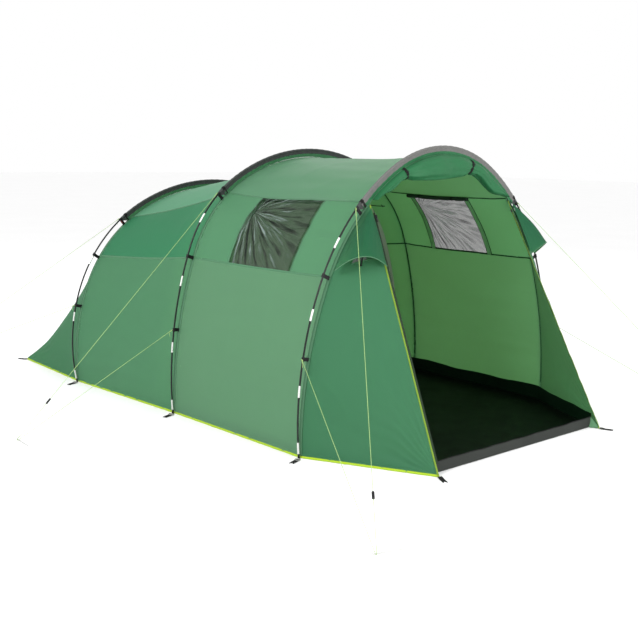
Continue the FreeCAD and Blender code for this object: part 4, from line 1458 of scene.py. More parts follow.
    def back_wall(self) -> Patch:
        """The sloping back from the rear hoop down to the straight rear hem."""
        first, last = REAR.whole(REAR.roof)
        count = self.count(last - first)
        arch, normals = REAR.row(first, last, count)
        line = REAR_CORNER * np.linspace((1, 1, 1), (-1, 1, 1), count)
        out = unit(vec(0, 1.72, 0.95))
        share = np.linspace(0, 1, self.count(2.0))
        patch = self.between(arch, unit(normals + out), line, np.broadcast_to(out, arch.shape), share)
        across = np.linspace(0, 1, count)[:, None]
        spots = patch.points
        rumple = 0.009 * SOFT.at(spots) + 0.004 * (CREASE.ridged(spots) - 0.3)
        ruck = np.sin(across * 150 + 2 * PUCKER.at(spots)) * np.exp(-share * 14) * smooth(share, 0, 0.03)
        height = plateau(share, 0.1, 0.08) * rumple + 0.002 * ruck - 0.14 * share * (1 - share)
        patch = patch.moved(height * plateau(across, 0.08, 0.08))
        dip = self.ridge_pull * self.ridge_dip(share)
        for side, edge in ((Side.RIGHT, 1 - across), (Side.LEFT, across)):
            pull = dip * edge ** 1.7 * smooth(edge, 0.55, 1.0)
            patch.points = patch.points + pull[..., None] * (self.ridge_inward() * side.flip)
        return patch

    def seam_strips(self, bag: Bag, side: Side, tape: "Tape") -> None:
        """Strips along the side and roof lines of both bays.

        Args:
            bag: collects their faces.
            side: which side they are on.
            tape: the strips' sizes and finish.
        """
        finish, half = tape.finish.material, tape.width / 2
        for hoop_a, hoop_b in ((MIDDLE, FRONT), (REAR, MIDDLE)):
            length = abs(hoop_b.y - hoop_a.y)
            share = np.linspace(tape.end_gap, 1 - tape.end_gap, self.count(length) * 2)
            for first, second in ((hoop_a.side, hoop_b.side), (hoop_a.roof, hoop_b.roof)):
                rows = (*hoop_a.row(first - half, first + half, tape.rows),
                        *hoop_b.row(second - half, second + half, tape.rows))
                patch = self.between(*rows, share).mirrored(side)
                patch = self.relief.shape(patch, share[None, :], length)
                bag.shell(patch.moved(tape.lift), tape.thickness, finish)

    def build_seams(self, side: Side) -> None:
        """Flat-felled seams along the side and roof lines and down the rear ridge."""
        bag = Bag()
        self.seam_strips(bag, side, OUTER_TAPE)
        self.add_leg_seams(bag, side)
        fan = self.rear_fan().mirrored(side)
        bag.tube(fan.points[-1] + fan.normals[-1] * 0.001, 0.0035, SEAM_TAPE.material, 8)
        settle(bag.make(f"fly_seams_{side.word}"))

    def add_leg_seams(self, bag: Bag, side: Side) -> None:
        """Seam bands where the fly's bays meet under each pole's leg.

        Args:
            bag: collects their faces.
            side: which side they are on.
        """
        tape = SEAM_TAPE.material
        for hoop in HOOPS:
            row, out = hoop.row(hoop.hem + 0.01, hoop.fly.station(hoop.sleeve_height), 90)
            shares = vec(-1, 0, 1)[None, :, None] * 0.011
            points = row[:, None] + shares * BACKWARD + out[:, None] * 0.0014
            bag.shell(Patch.sewn(points, out[:, None]).mirrored(side), 0.002, tape)
            bag.tube((row + out * 0.002 + BACKWARD * 0.012) * side.flip, 0.0016, tape, 6)

    def build_inside_seams(self) -> None:
        """Dark taped seams on the inside, along both side lines and round each hoop."""
        bag = Bag()
        tape = INSIDE_SEAM.material
        for side in Side:
            self.seam_strips(bag, side, INNER_TAPE)
        for hoop in HOOPS:
            low, high = hoop.whole(hoop.hem + 0.12)
            right, left = hoop.whole(hoop.roof - 0.02)
            spans = ((low, right), (left, high)) if hoop is FRONT else ((low, high),)
            for first, last in spans:
                row, out = hoop.row(first, last, 150)
                for shift in (-0.0035, 0.0035):
                    bag.tube(row - out * 0.003 + BACKWARD * shift, 0.0018, tape, 6)
        settle(bag.make("fly_inside_seams"))

    def hem_path(self) -> Points:
        """The hem's corners on the ground on the +X side, from the doorway to the back."""
        feet = [vec(hoop.fly.at(0.0)[0][0, 0], hoop.y, 0) for hoop in HOOPS]
        return np.array([FRONT_CORNER * vec(1, 1, 0), *feet, REAR_CORNER * vec(1, 1, 0)])

    def build_hem(self) -> None:
        """Lime binding folded over the fly's lower edge, all the way round the back."""
        bag = Bag()
        lime = LIME_BINDING.material
        right = self.hem_path()
        path = np.concatenate([right, (right * vec(-1, 1, 1))[::-1]])
        stops = running(path)
        fine = np.unique(np.concatenate([np.arange(0, stops[-1], 0.03), stops]))
        line = np.stack([np.interp(fine, stops, path[:, k]) for k in range(3)], -1)
        heading = along(line)
        out = np.stack([-heading[:, 1], heading[:, 0], np.zeros(len(line))], -1)
        out = out * np.where((out * line).sum(-1) < 0, -1.0, 1.0)[:, None]
        wave = 0.0012 * np.sin(fine * 38) + 0.0009 * np.sin(fine * 91 + 1)
        half, top = self.hem_thickness / 2, self.hem_width
        section = np.array([(-half, 0.002), (0, 0.0012), (half, 0.002), (half * 1.1, top * 0.5), (half, top),
                            (0, top + 0.0008), (-half, top), (-half * 1.1, top * 0.5)])
        bag.sweep(line + out * wave[:, None], out, UP, section, lime)
        settle(bag.make("hem_binding"), ["hem_piping"])


def fan_normal(hoop: Hoop, corner: Points) -> Points:
    """Outward normal of the +X fan between a hoop's leg and a hem corner."""
    points, _ = hoop.row(hoop.side, hoop.roof, 2)
    normal = unit(np.cross(points[0] - corner, points[1] - corner))
    return normal if normal[0] > 0 else -normal


@dataclass
class Sleeves:
    """Pole sleeves with their end straps, and the poles, ferrules, tips and clips."""

    reach: float = 0.052
    channel: float = 0.0092
    seam_half: float = 0.0035
    step: float = 0.012

    def build(self) -> None:
        """Make all three sleeves and finish the hard parts."""
        for hoop in HOOPS:
            self.build_sleeve(hoop)
            for side in Side:
                self.build_strap(hoop, side)
            dress(f"{hoop.name}_pole", POLE_GLASS.material)
        dress("pole_ferrules", FERRULE_METAL.material)
        dress("pole_end_tips", BLACK_PLASTIC.material)
        dress("pole_clips", BLACK_PLASTIC.material)
        dress("shock_cords", ELASTIC.material)

    def build_sleeve(self, hoop: Hoop) -> None:
        """Two layers sewn to the fly, round the pole, ruckled along their length."""
        first, last = hoop.sleeve, 2 * hoop.pole.length - hoop.sleeve
        stations = np.linspace(first, last, int((last - first) / self.step))
        centres, out = hoop.pole_row(stations)
        angle = np.linspace(-0.72 * math.pi, 0.72 * math.pi, 14)
        wrap = np.stack([np.cos(angle), np.sin(angle)], -1) * self.channel
        leg = mix(wrap[-1], vec(-self.reach, self.seam_half), np.linspace(0.25, 1.0, 4)[:, None])
        base = np.concatenate([wrap, leg, (leg * vec(1, -1))[::-1]])
        ruck = np.sin(stations * 2 * math.pi / 0.05 + 2.2 * np.sin(stations * 9.1))[:, None]
        slow = np.sin(stations * 2 * math.pi / 0.17 + 1.3)[:, None]
        depth = np.clip(-base[:, 0] / self.reach, 0, 1)
        section = np.repeat(base[None], len(stations), 0)
        section[..., 1] += (0.0022 * ruck + 0.0012 * slow) * np.sin(depth * math.pi)
        section *= (1 + 0.06 * ruck * (depth <= 0))[..., None]
        waist = len(wrap) + 2
        bag = Bag()
        shown = np.r_[0:waist, len(base) - 2:len(base)]
        cloth = (FRONT_SLEEVE_CLOTH if hoop is FRONT else SLEEVE_CLOTH).material
        bag.sweep(centres, out, BACKWARD, section[:, shown], cloth)
        skirt = section[:, waist - 1:len(base) - 1] * vec(1, 1.12) + vec(0.001, 0)
        # The middle and rear skirts take the skirt panels' fly cloth, with its painted shade.
        low = DOOR_CLOTH.material if hoop is FRONT else fly_cloth(Tint.SKIRT)[0]
        bag.sweep(centres, out, BACKWARD, skirt, low)
        piece = settle(bag.make(f"{hoop.name}_sleeve_cloth"), [f"{hoop.name}_pole_sleeve"])
        foot, _ = hoop.pole_row(stations, 0.001 - self.reach)
        lines = [foot + BACKWARD * (sign * self.seam_half * 1.5) for sign in (1, -1)]
        piping(f"{hoop.name}_sleeve_seam", lines, 0.0022, SEAM_TAPE.material)

    def build_strap(self, hoop: Hoop, side: Side) -> None:
        """Black webbing cap over the sleeve's end, with a grey tail down the pole."""
        bag = Bag()
        web, tail = BLACK_WEBBING.material, SLEEVE_CLOTH.material

        def carry(low: float, high: float, section: Points, finish: Material) -> None:
            """Carry a changing section along the pole, from low to high past the sleeve's end."""
            centres, out = hoop.pole_row(np.linspace(hoop.sleeve + low, hoop.sleeve + high, len(section)))
            bag.sweep(centres * side.flip, out * side.flip, BACKWARD, section, finish)

        bulge = (1 + 0.08 * np.sin(np.linspace(0, math.pi, 6)))[:, None, None]
        for low, high, radius, finish in ((0.004, 0.026, 0.0122, web), (-0.03, 0.004, 0.0096, tail)):
            carry(low, high, circle(16) * radius * bulge, finish)
        fin = vec(-0.008, 0.0062, -self.reach, 0.0052, -self.reach, -0.0052, -0.008, -0.0062).reshape(4, 2)
        carry(0.004, 0.026, np.repeat(fin[None], 4, 0), web)
        carry(-0.031, 0.006, fin * vec(1, 0.6) * np.linspace(0.45, 1.0, 8)[:, None, None], tail)
        if hoop is REAR:
            spot, way = hoop.pole_row(vec(hoop.sleeve - 0.05), -0.02)
            out = way[0] * side.flip
            axes = np.array([out, BACKWARD, np.cross(out, BACKWARD)])
            bag.bar(spot[0] * side.flip, axes, (0.026, 0.014, 0.002), RED_TAB.material)
        settle(bag.make(f"{hoop.name}_sleeve_strap_{side.word}"))


@dataclass
class Windows:
    """Clear side windows with cloth frames and rolled blinds inside."""

    fly: Fly
    start: float = 0.26
    end: float = 0.72
    frame_width: float = 0.035
    frame_depth: float = 0.003
    film_inset: float = 0.0006
    film_thickness: float = 0.0008
    film_cell: float = 0.008
    fold_centre: tuple = (0.82, 0.03)
    loop_shares: tuple = (0.22, 0.78)
    blind_radius: float = 0.015
    blind_drop: float = 0.019

    def build(self) -> None:
        """Make the window of each side."""
        for side in Side:
            self.build_pane(side)
            self.build_frame(side)
            self.build_blind(side)

    @staticmethod
    def surface(fly: Fly, side: Side, span: tuple) -> Patch:
        """The fly's own surface over part of the window's bay."""
        return fly.bay(MIDDLE, FRONT, MIDDLE.band, FRONT.band, span, side)

    def build_pane(self, side: Side) -> None:
        """Film with folds that fan out from its top rear corner."""
        patch = self.surface(Fly(cell=self.film_cell), side, (self.start, self.end))
        u, v = (patch.uv[..., k] / patch.uv[..., k].max() for k in range(2))
        up, over = self.fold_centre[0] - u, v - self.fold_centre[1]
        turn, away = np.arctan2(up, over), np.hypot(up, over)
        folds = np.sin(turn * 21 + 0.5 * np.sin(away * 4)) + 0.6 * np.sin(turn * 37 + away * 2)
        fade = np.exp(-away * 1.5) + 0.25
        second = np.exp(-4 * np.abs(np.sin(3.1 * (u + 0.7 * v) + 0.5 * SOFT.at(patch.points * 3))))
        hold = plateau(u, 0.07, 0.07) * plateau(v, 0.05, 0.05)
        film = patch.moved(hold * (0.0024 * folds * fade + 0.002 * second) - self.film_inset)
        layers = [(film, self.film_thickness, FILM.material)]
        declare(shells(f"window_film_{side.word}", ["window_panes"], layers), [patch])

    def build_frame(self, side: Side) -> None:
        """Cloth strips beside the film, inside and out, with piped edges."""
        bag = Bag()
        inner_cloth = fly_cloth(Tint.PLAIN)[1]
        span = self.frame_width / abs(FRONT.y - MIDDLE.y)
        for edge, way in ((self.start, 1), (self.end, -1)):
            strip = self.surface(self.fly, side, tuple(sorted((edge - way * span * 0.25, edge + way * span))))
            bag.shell(strip.moved(-self.frame_depth - 0.004), 0.0015, inner_cloth)
            for column in (0, -1):
                line = strip.points[:, column] - strip.normals[:, column] * (self.frame_depth + 0.005)
                bag.tube(line, 0.0022, ZIP_TAPE.material, 6)
            outer = self.surface(self.fly, side, tuple(sorted((edge - way * 0.002, edge + way * 0.006))))
            bag.shell(outer.moved(0.0012), 0.0018, SEAM_TAPE.material)
        settle(bag.make(f"window_frame_{side.word}"))

    def build_blind(self, side: Side) -> None:
        """Dark blind rolled along the window's top and held by two elastic loops."""
        patch = self.surface(self.fly, side, (self.start - 0.01, self.end + 0.01))
        line = patch.points[-1] - patch.normals[-1] * self.blind_drop
        t = np.linspace(0, 1, len(line))
        pinch = sum(np.exp(-((t - share) / 0.03) ** 2) for share in self.loop_shares)
        bag, loops = Bag(), Bag()
        radius = self.blind_radius * (0.93 + 0.07 * np.sin(t * 31) - 0.16 * pinch)
        bag.tube(line, radius, ROLLED_BLIND.material, 14)
        settle(bag.make(f"window_blind_{side.word}"), ["window_blinds"])
        for share in self.loop_shares:
            at = int(share * (len(line) - 1))
            path = line[at] + along(line)[at] * np.linspace(-0.006, 0.006, 4)[:, None]
            loops.tube(path, self.blind_radius * 0.93, BLACK_WEBBING.material, 16)
        settle(loops.make(f"window_blind_loops_{side.word}"))


@dataclass
class Vents:
    """Peaked hoods over the porch's air openings, with mesh and props."""

    offset: float = 0.020
    rise: float = 0.105
    share: float = 0.25
    low: float = 1.135
    tip_drop: float = 0.045
    tip_out: float = 0.008
    leg_forward: float = 0.022
    proud_rise: float = 0.045
    mesh_offset: float = 0.005
    mesh_low: float = 1.150
    mesh_start: float = 0.03
    mesh_end: float = 0.235

    def build(self) -> None:
        """Make both hoods, meshes and props."""
        for side in Side:
            self.build_hood(side)
            self.build_mesh(side)
            dress(f"vent_prop_{side.word}", BLACK_PLASTIC.material)

    def corners(self) -> tuple:
        """Tip, leg end, proud middle and door end of the hood on the +X side, and the wall's normal."""
        out = fan_normal(FRONT, FRONT_CORNER)
        top = FRONT.row(FRONT.roof, FRONT.roof, 1)[0][0] + out * self.offset
        corner = FRONT_CORNER + out * self.offset
        tip = top + unit(corner - top) * self.tip_drop + vec(self.tip_out, 0, 0)
        station = FRONT.fly.station(self.low)
        leg = FRONT.row(station, station, 1)[0][0] + out * self.offset - vec(0, self.leg_forward, 0)
        door = top + (corner - top) * self.share
        proud = (leg + door) / 2 + out * self.rise + vec(0, 0, self.proud_rise)
        return tip, leg, proud, door, out

    def build_hood(self, side: Side) -> None:
        """Hood of fly cloth, darkened with painted shade, from its tip to an arched, bound lower edge."""
        tip, leg, proud, door, out = self.corners()
        s = np.linspace(0, 1, 33)[:, None]
        control = proud + (proud - (leg + door) / 2) * 0.86
        edge = (1 - s) ** 2 * leg + 2 * s * (1 - s) * control + s ** 2 * door
        t = np.linspace(0, 1, 20)
        points = tip + (edge[:, None] - tip) * t[None, :, None]
        normals = np.cross(np.gradient(points, axis=0), np.gradient(points, axis=1) + 1e-9)
        normals[:, 0] = normals[:, 1]
        normals = unit(normals) * np.where((normals @ out)[..., None] < 0, -1.0, 1.0)
        folds = np.sin(s * 58) * smooth(t, 0.1, 0.35) * smooth(1 - t, 0.0, 0.3)
        lift = 4 * t * (1 - t) * (0.048 * s * (1 - s) + 0.002 * SOFT.at(points * 3)) + 0.0016 * folds
        patch = Patch.sewn(points, normals).moved(lift).mirrored(side)
        hood = shells(f"vent_hood_{side.word}_cloth", [f"vent_hood_{side.word}"],
                      [(patch, SHEET, *fly_cloth(Tint.HOOD))])
        declare(hood, [patch])
        rim = piping(f"vent_hood_{side.word}_binding", [patch.points[:, -1]], 0.003,
                     SEAM_TAPE.material, 8)
        for piece in (hood, rim):
            f"vent_prop_{side.word}_fold"
            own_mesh(piece)

    def build_mesh(self, side: Side) -> None:
        """Netting over the opening, sewn round its edge."""
        s, t = np.linspace(0.3, 0.88, 22)[:, None], np.linspace(0.1, 0.95, 18)[None, :]
        low, full = FRONT.fly.station(self.mesh_low) - FRONT.hem, FRONT.roof - FRONT.hem
        rise = 1 - t * ((1 - low / full) * (1 - s) + 0.004 * s)
        share = self.mesh_start + t * (self.mesh_end - self.mesh_start) * s
        leg, _ = FRONT.row(FRONT.hem, FRONT.roof, 200)
        start = np.stack([np.interp(rise, np.linspace(0, 1, 200), leg[:, k]) for k in range(3)], -1)
        tip = FRONT_CORNER + unit(leg[-1] - FRONT_CORNER) * 0.014 * rise[..., None]
        points = mix(start, tip, share[..., None])
        patch = Patch.sewn(points, fan_normal(FRONT, FRONT_CORNER)).mirrored(side)
        patch = patch.moved(self.mesh_offset + 0.0015 * PUCKER.at(patch.points * 4))
        layers = [(patch, 0.0008, NETTING.material)]
        declare(shells(f"vent_net_{side.word}", ["vent_meshes"], layers), [patch])
        lines = (patch.points[0], patch.points[-1], patch.points[:, 0], patch.points[:, -1])
        piping(f"vent_net_edge_{side.word}", lines, 0.0025, SEAM_TAPE.material)


# ---- doorway

@dataclass
class Doorway:
    """Rolled porch door, its ties, the bound edges, zips and sliders."""

    tie_reach: tuple = (-0.26, 0.41)
    end_gap: float = 0.02
    binding_radius: float = 0.0034
    roll_depth: float = 0.1
    roll_thickness: float = 0.046

    def build(self) -> None:
        """Make the roll, the ties and both edges."""
        self.build_roll()
        for side in Side:
            self.build_edge(side)
            dress(f"door_zip_slider_{side.word}", ZIP_METAL.material)

    def tie_places(self) -> Points:
        """Stations of the two ties, one each side of the crown."""
        return FRONT.fly.length + vec(*self.tie_reach)

    def build_roll(self) -> None:
        """The door bunched into a crescent under the front hoop, deepest at the crown."""
        first, last = FRONT.whole(FRONT.roof + self.end_gap)
        stations = np.linspace(first, last, 150)
        points, out = FRONT.spread(FRONT.fly, stations)
        t = np.linspace(0, 1, 150)
        ties = (self.tie_places() - first) / (last - first)
        pinch = sum(np.exp(-((t - tie) / 0.018) ** 2) for tie in ties)
        middle, half = self.tie_places().mean(), float(np.ptp(self.tie_reach)) / 2
        crown = np.clip(1 - ((stations - middle) / (half * 1.2)) ** 2, 0, 1)
        hang = 0.05 + 0.05 * (1 - t) ** 2
        taper = smooth(np.minimum(t, 1 - t), -0.03, 0.12)
        depth = (hang + self.roll_depth * crown) * (1 - 0.2 * pinch) * taper
        thick = self.roll_thickness * (1 - 0.3 * pinch) * (0.72 + 0.4 * crown)
        angle = np.linspace(0, 2 * math.pi, 40, endpoint=False)
        x, y = np.cos(angle), np.sin(angle)
        below = np.clip(-x, 0, 1)
        row = t[:, None]
        fold = (0.13 * np.sin(5 * angle + 2.2 * math.pi * row) * (0.4 + 0.6 * below)
                + 0.07 * np.sin(9 * angle - 7 * row) + 0.03 * np.sin(4 * angle + 41 * row))
        section = np.stack([(x[None] * (1 + 0.25 * fold) - 1) * depth[:, None] / 2,
                            y[None] * (1 + fold) * thick[:, None]], -1)
        sway = 0.006 * np.sin(t * 17) + 0.004 * np.sin(t * 41 + 1)
        path = points + out * 0.004 + BACKWARD * sway[:, None] - vec(0, 0.012, 0)
        bag = Bag()
        bag.sweep(path, out, BACKWARD, section, DOOR_CLOTH.material)
        for shift, dip, swing in ((-0.5, 0.72, 0.8), (0.62, 0.88, -0.6)):
            centre = path - out * (depth * dip)[:, None] + BACKWARD * (thick * shift)[:, None]
            size = (0.011 + 0.005 * np.sin(t * 29 * swing)) * (1 - 0.4 * pinch)
            bag.tube(centre[12:138], size[12:138], DOOR_CLOTH.material, 10)
        piece = settle(bag.make("rolled_door_cloth"), ["rolled_door"])
        piece.modifiers.new("soften", "SMOOTH").iterations = 2
        self.build_ties(path, out, depth, thick, stations)

    def build_ties(self, path: Points, out: Points, depth: Points, thick: Points, stations: Points) -> None:
        """Webbing loops with a ring on each, round the roll.

        Args:
            path: the roll's upper line.
            out: its outward directions.
            depth: how deep the roll is along it.
            thick: half its thickness along it.
            stations: the hoop's stations along it.
        """
        bag = Bag()
        web, metal = BLACK_WEBBING.material, ZIP_METAL.material
        turn = np.linspace(0, 2 * math.pi, 22)[:, None]
        for place in self.tie_places():
            i = int(np.argmin(np.abs(stations - place)))
            wide = thick[i] * 1.12
            section = circle(28) * vec(depth[i] / 2 + 0.006, wide) - vec(depth[i] / 2, 0)
            heading = unit(path[i + 1] - path[i - 1])
            band = path[i] + heading * np.linspace(-0.01, 0.01, 5)[:, None]
            bag.sweep(band, out[i], BACKWARD, section, web, caps=False)
            bag.sweep(band[::-1], out[i], BACKWARD, section * vec(0.97, 0.95), web, caps=False)
            centre = path[i] - BACKWARD * (wide + 0.004) - out[i] * depth[i] * 0.3
            loop = centre + (np.cos(turn) * heading + np.sin(turn) * out[i]) * 0.009
            bag.tube(loop, 0.0018, metal, 8, caps=False)
        settle(bag.make("door_tie_loops"), ["door_ties"])

    def build_edge(self, side: Side) -> None:
        """Lime binding with painted shade, zip tape and teeth down one side of the doorway."""
        top = FRONT.row(FRONT.roof, FRONT.roof, 1)[0][0]
        wall = fan_normal(FRONT, FRONT_CORNER)
        run = unit(FRONT_CORNER - top)
        across = unit(np.cross(wall, run))
        across = across if across[0] < 0 else -across
        length = float(np.linalg.norm(FRONT_CORNER - top))

        def carried(stops: Points, inward: object, outward: object) -> Points:
            """Places down the edge, so far into the doorway and out of the wall."""
            inward, outward = (np.reshape(shift, (-1, 1)) for shift in (inward, outward))
            return (top + stops[:, None] * run + across * inward + wall * outward) * side.flip

        stops = np.linspace(0.02, length - 0.006, 130)
        wobble = 0.0012 * np.sin(stops * 31) + 0.0008 * np.sin(stops * 67 + 1)
        bag, tape = Bag(), Bag()
        bag.sweep(carried(stops, -0.006, 0.0015 + wobble), across * side.flip, wall * side.flip,
                  circle(12) * vec(1.5, 0.8) * self.binding_radius, SHADED_DOOR_BINDING.material)
        settle(bag.make(f"doorway_binding_{side.word}"))
        inner = stops[(stops > 0.06) & (stops < length - 0.07)]
        tape.sweep(carried(inner, 0.0065, -0.001), across * side.flip, wall * side.flip,
                   slab(0.0055, 0.0009), ZIP_TAPE.material)
        coil = np.arange(0.06, length - 0.07, 0.0011)
        spin = coil * 2 * math.pi / 0.0044
        teeth = carried(coil, 0.0121 + 0.0008 * np.cos(spin), 0.0007 * np.sin(spin) - 0.001)
        tape.tube(teeth, 0.0006, BLACK_PLASTIC.material, 4)
        settle(tape.make(f"door_zip_{side.word}"), ["door_zip_tapes"])


# ---- ground

@dataclass
class Ground:
    """Living-area floor, door sill and pegging straps."""

    hem: Points
    margin: float = 0.032
    sill_y: float = -2.150
    sill_height: float = 0.075
    inner_y: float = 0.100
    lip: float = 0.110
    cell: float = 0.03
    strap_width: float = 0.03

    def half_width(self, y: Points, margin: Optional[float] = None) -> Points:
        """Half the floor's width at places along the tunnel."""
        return np.interp(y, self.hem[:, 1], self.hem[:, 0]) - (self.margin if margin is None else margin)

    def build(self) -> None:
        """Make the floor, the sill and the straps."""
        self.build_floor()
        self.build_sill()
        self.build_straps()

    def floor_patch(self, first: float, last: float, margin: float, rise: float) -> Patch:
        """A rumpled sheet on the ground.

        Args:
            first: where it starts along the tunnel.
            last: where it ends.
            margin: gap to the hem.
            rise: height of the rumples.

        Returns:
            The patch.
        """
        y = np.linspace(first, last, int((last - first) / self.cell))
        half = self.half_width(y, margin)
        x = np.linspace(-1, 1, int(2 * half.max() / self.cell))[:, None] * half
        points = np.stack([x, y + 0 * x, 0 * x], -1)
        rumple = np.clip(SOFT.at(points * 1.4) + 1.1 * CREASE.ridged(points * 1.6), 0, None)
        points[..., 2] = 0.0026 + rise * rumple
        return Patch.sewn(points, UP, [0, 1])

    def build_floor(self) -> None:
        """Black floor with its dark green lip standing along both sides."""
        sheet = FLOOR_SHEET.material
        first, last = self.sill_y + 0.007, self.inner_y - 0.007
        patch = self.floor_patch(first, last, self.margin + 0.003, 0.0032)
        bag = Bag()
        bag.shell(patch, SHEET, sheet)
        lip_cloth = FLOOR_LIP.material
        y = np.linspace(first, last, 90)
        t = np.linspace(0, 1, 7)
        for side in Side:
            lean = 0.010 * np.sin(y * 13) * np.sin(y * 4.1)
            top = self.lip * (0.9 + 0.07 * np.sin(y * 9 + 1) * np.sin(y * 3.3))
            x = self.half_width(y)[:, None] - 0.002 - np.abs(lean)[:, None] * t[None] ** 1.5
            points = np.stack([side.value * x, y[:, None] + 0 * x, 0.002 + top[:, None] * t], -1)
            bag.shell(Patch.sewn(points, RIGHTWARD * side.value, [1, 2]), 0.0014, lip_cloth)
        piece = settle(bag.make("living_floor"), ["groundsheet"])
        size = (2 * float(self.half_width(vec(-0.088))[0]) + 2 * self.lip, last - first)

    def build_sill(self) -> None:
        """Woven strip standing across the doorway, with a light green gusset at each end."""
        half = float(self.half_width(vec(self.sill_y))[0]) - 0.012
        x, t = np.linspace(-half, half, 90)[:, None], np.linspace(0, 1, 8)
        sag = 0.006 * (1 - (x / half) ** 2) + 0.0025 * np.sin(x * 23) * np.sin(x * 7 + 1)
        bulge = 0.007 * np.sin(x * 6 + 0.5) + 0.003 * np.sin(x * 19)
        y = self.sill_y + 0.002 + bulge * np.sin(t * math.pi) * 0.8
        points = np.stack([x + 0 * y, y, 0.002 + (self.sill_height - sag - 0.003) * t], -1)
        patch = Patch.sewn(points, FORWARD, [0, 2])
        layers = [(patch, 0.0022, SILL_SHEET.material)]
        piece = shells("door_sill_strip", ["door_sill"], layers)
        piping("door_sill_binding", [points[:, -1] + BACKWARD * 0.001], 0.0035,
               BLACK_WEBBING.material, 8)
        corner = FRONT_CORNER + vec(-0.004, 0.006, -0.005)
        share, rows = np.linspace(0, 1, 10)[:, None], np.linspace(0, 1, 6)[None, :, None]
        lower = mix(vec(half - 0.015, self.sill_y, 0.003), corner, share)
        upper = mix(vec(half, self.sill_y, self.sill_height), corner + UP * 0.012, share)
        for side in Side:
            gusset = Patch.sewn(mix(lower[:, None], upper[:, None], rows) * side.flip, FORWARD, [0, 2])
            shells(f"door_sill_gusset_{side.word}", [],
                   [(gusset, 0.0015, GUSSET_CLOTH.material)])

    def strap(self, bag: Bag, start: Points, heading: Points, length: float, forked: bool) -> None:
        """One webbing tab lying outwards from the hem.

        Args:
            bag: collects its faces.
            start: where it leaves the hem.
            heading: its direction on the ground.
            length: its length.
            forked: whether its end is cut into a fork.
        """
        web = BLACK_WEBBING.material
        way = unit(heading)
        across = vec(-way[1], way[0], 0)
        run = np.linspace(0, 1, 26)
        height = 0.0035 + 0.005 * np.exp(-run * 5) + 0.0035 * np.abs(np.sin(run * 7)) * (1 - run)
        centre = start + way * (run * length)[:, None] + UP * height[:, None]
        half = self.strap_width / 2
        notch = np.clip((run - 0.78) / 0.22, 0, 1) * half * 0.75 if forked else np.zeros(len(run))
        for sign in (1, -1):
            edges = np.stack([centre + across * (sign * notch)[:, None],
                              centre + across * sign * (notch + half)[:, None] / 2,
                              centre + across * sign * half], 1)
            uv = np.stack([running(edges, 1), np.broadcast_to((run * length)[:, None], edges.shape[:2])], -1)
            bag.shell(Patch(edges, np.broadcast_to(UP, edges.shape), uv), 0.0022, web)

    def build_straps(self) -> None:
        """Tabs at the hem's corners and beside each pole foot, with steel rings at the feet."""
        for side in Side:
            bag, rings = Bag(), Bag()
            flip = side.flip
            spots = [(FRONT_CORNER, vec(0.5, -1, 0), 0.092, True),
                     (REAR_CORNER, vec(0.5, 1, 0), 0.092, False)]
            for hoop in HOOPS:
                foot = vec(hoop.half_width + 0.014, hoop.y - 0.018, 0)
                spots.append((foot, vec(1, -0.35, 0), 0.09, hoop is FRONT))
                self.foot_ring(rings, hoop, flip)
            for at, heading, length, forked in spots:
                start = (at * vec(1, 1, 0) + unit(heading) * 0.004) * flip
                self.strap(bag, start, heading * flip, length, forked)
            settle(bag.make(f"pegging_webs_{side.word}"), ["pegging_straps"])
            settle(rings.make(f"foot_rings_{side.word}"))

    def foot_ring(self, bag: Bag, hoop: Hoop, flip: Points) -> None:
        """Steel ring on the tab under one pole foot."""
        metal = PEG_METAL.material
        turn = np.linspace(0, 2 * math.pi, 30)
        centre = vec(hoop.half_width + 0.034, hoop.y - 0.026, 0.009)
        loop = centre + np.stack([np.cos(turn) * 0.014, np.sin(turn) * 0.014, 0.001 * np.sin(turn)], -1)
        bag.tube(loop * flip, 0.0021, metal, 8, caps=False)


# ---- inner tent

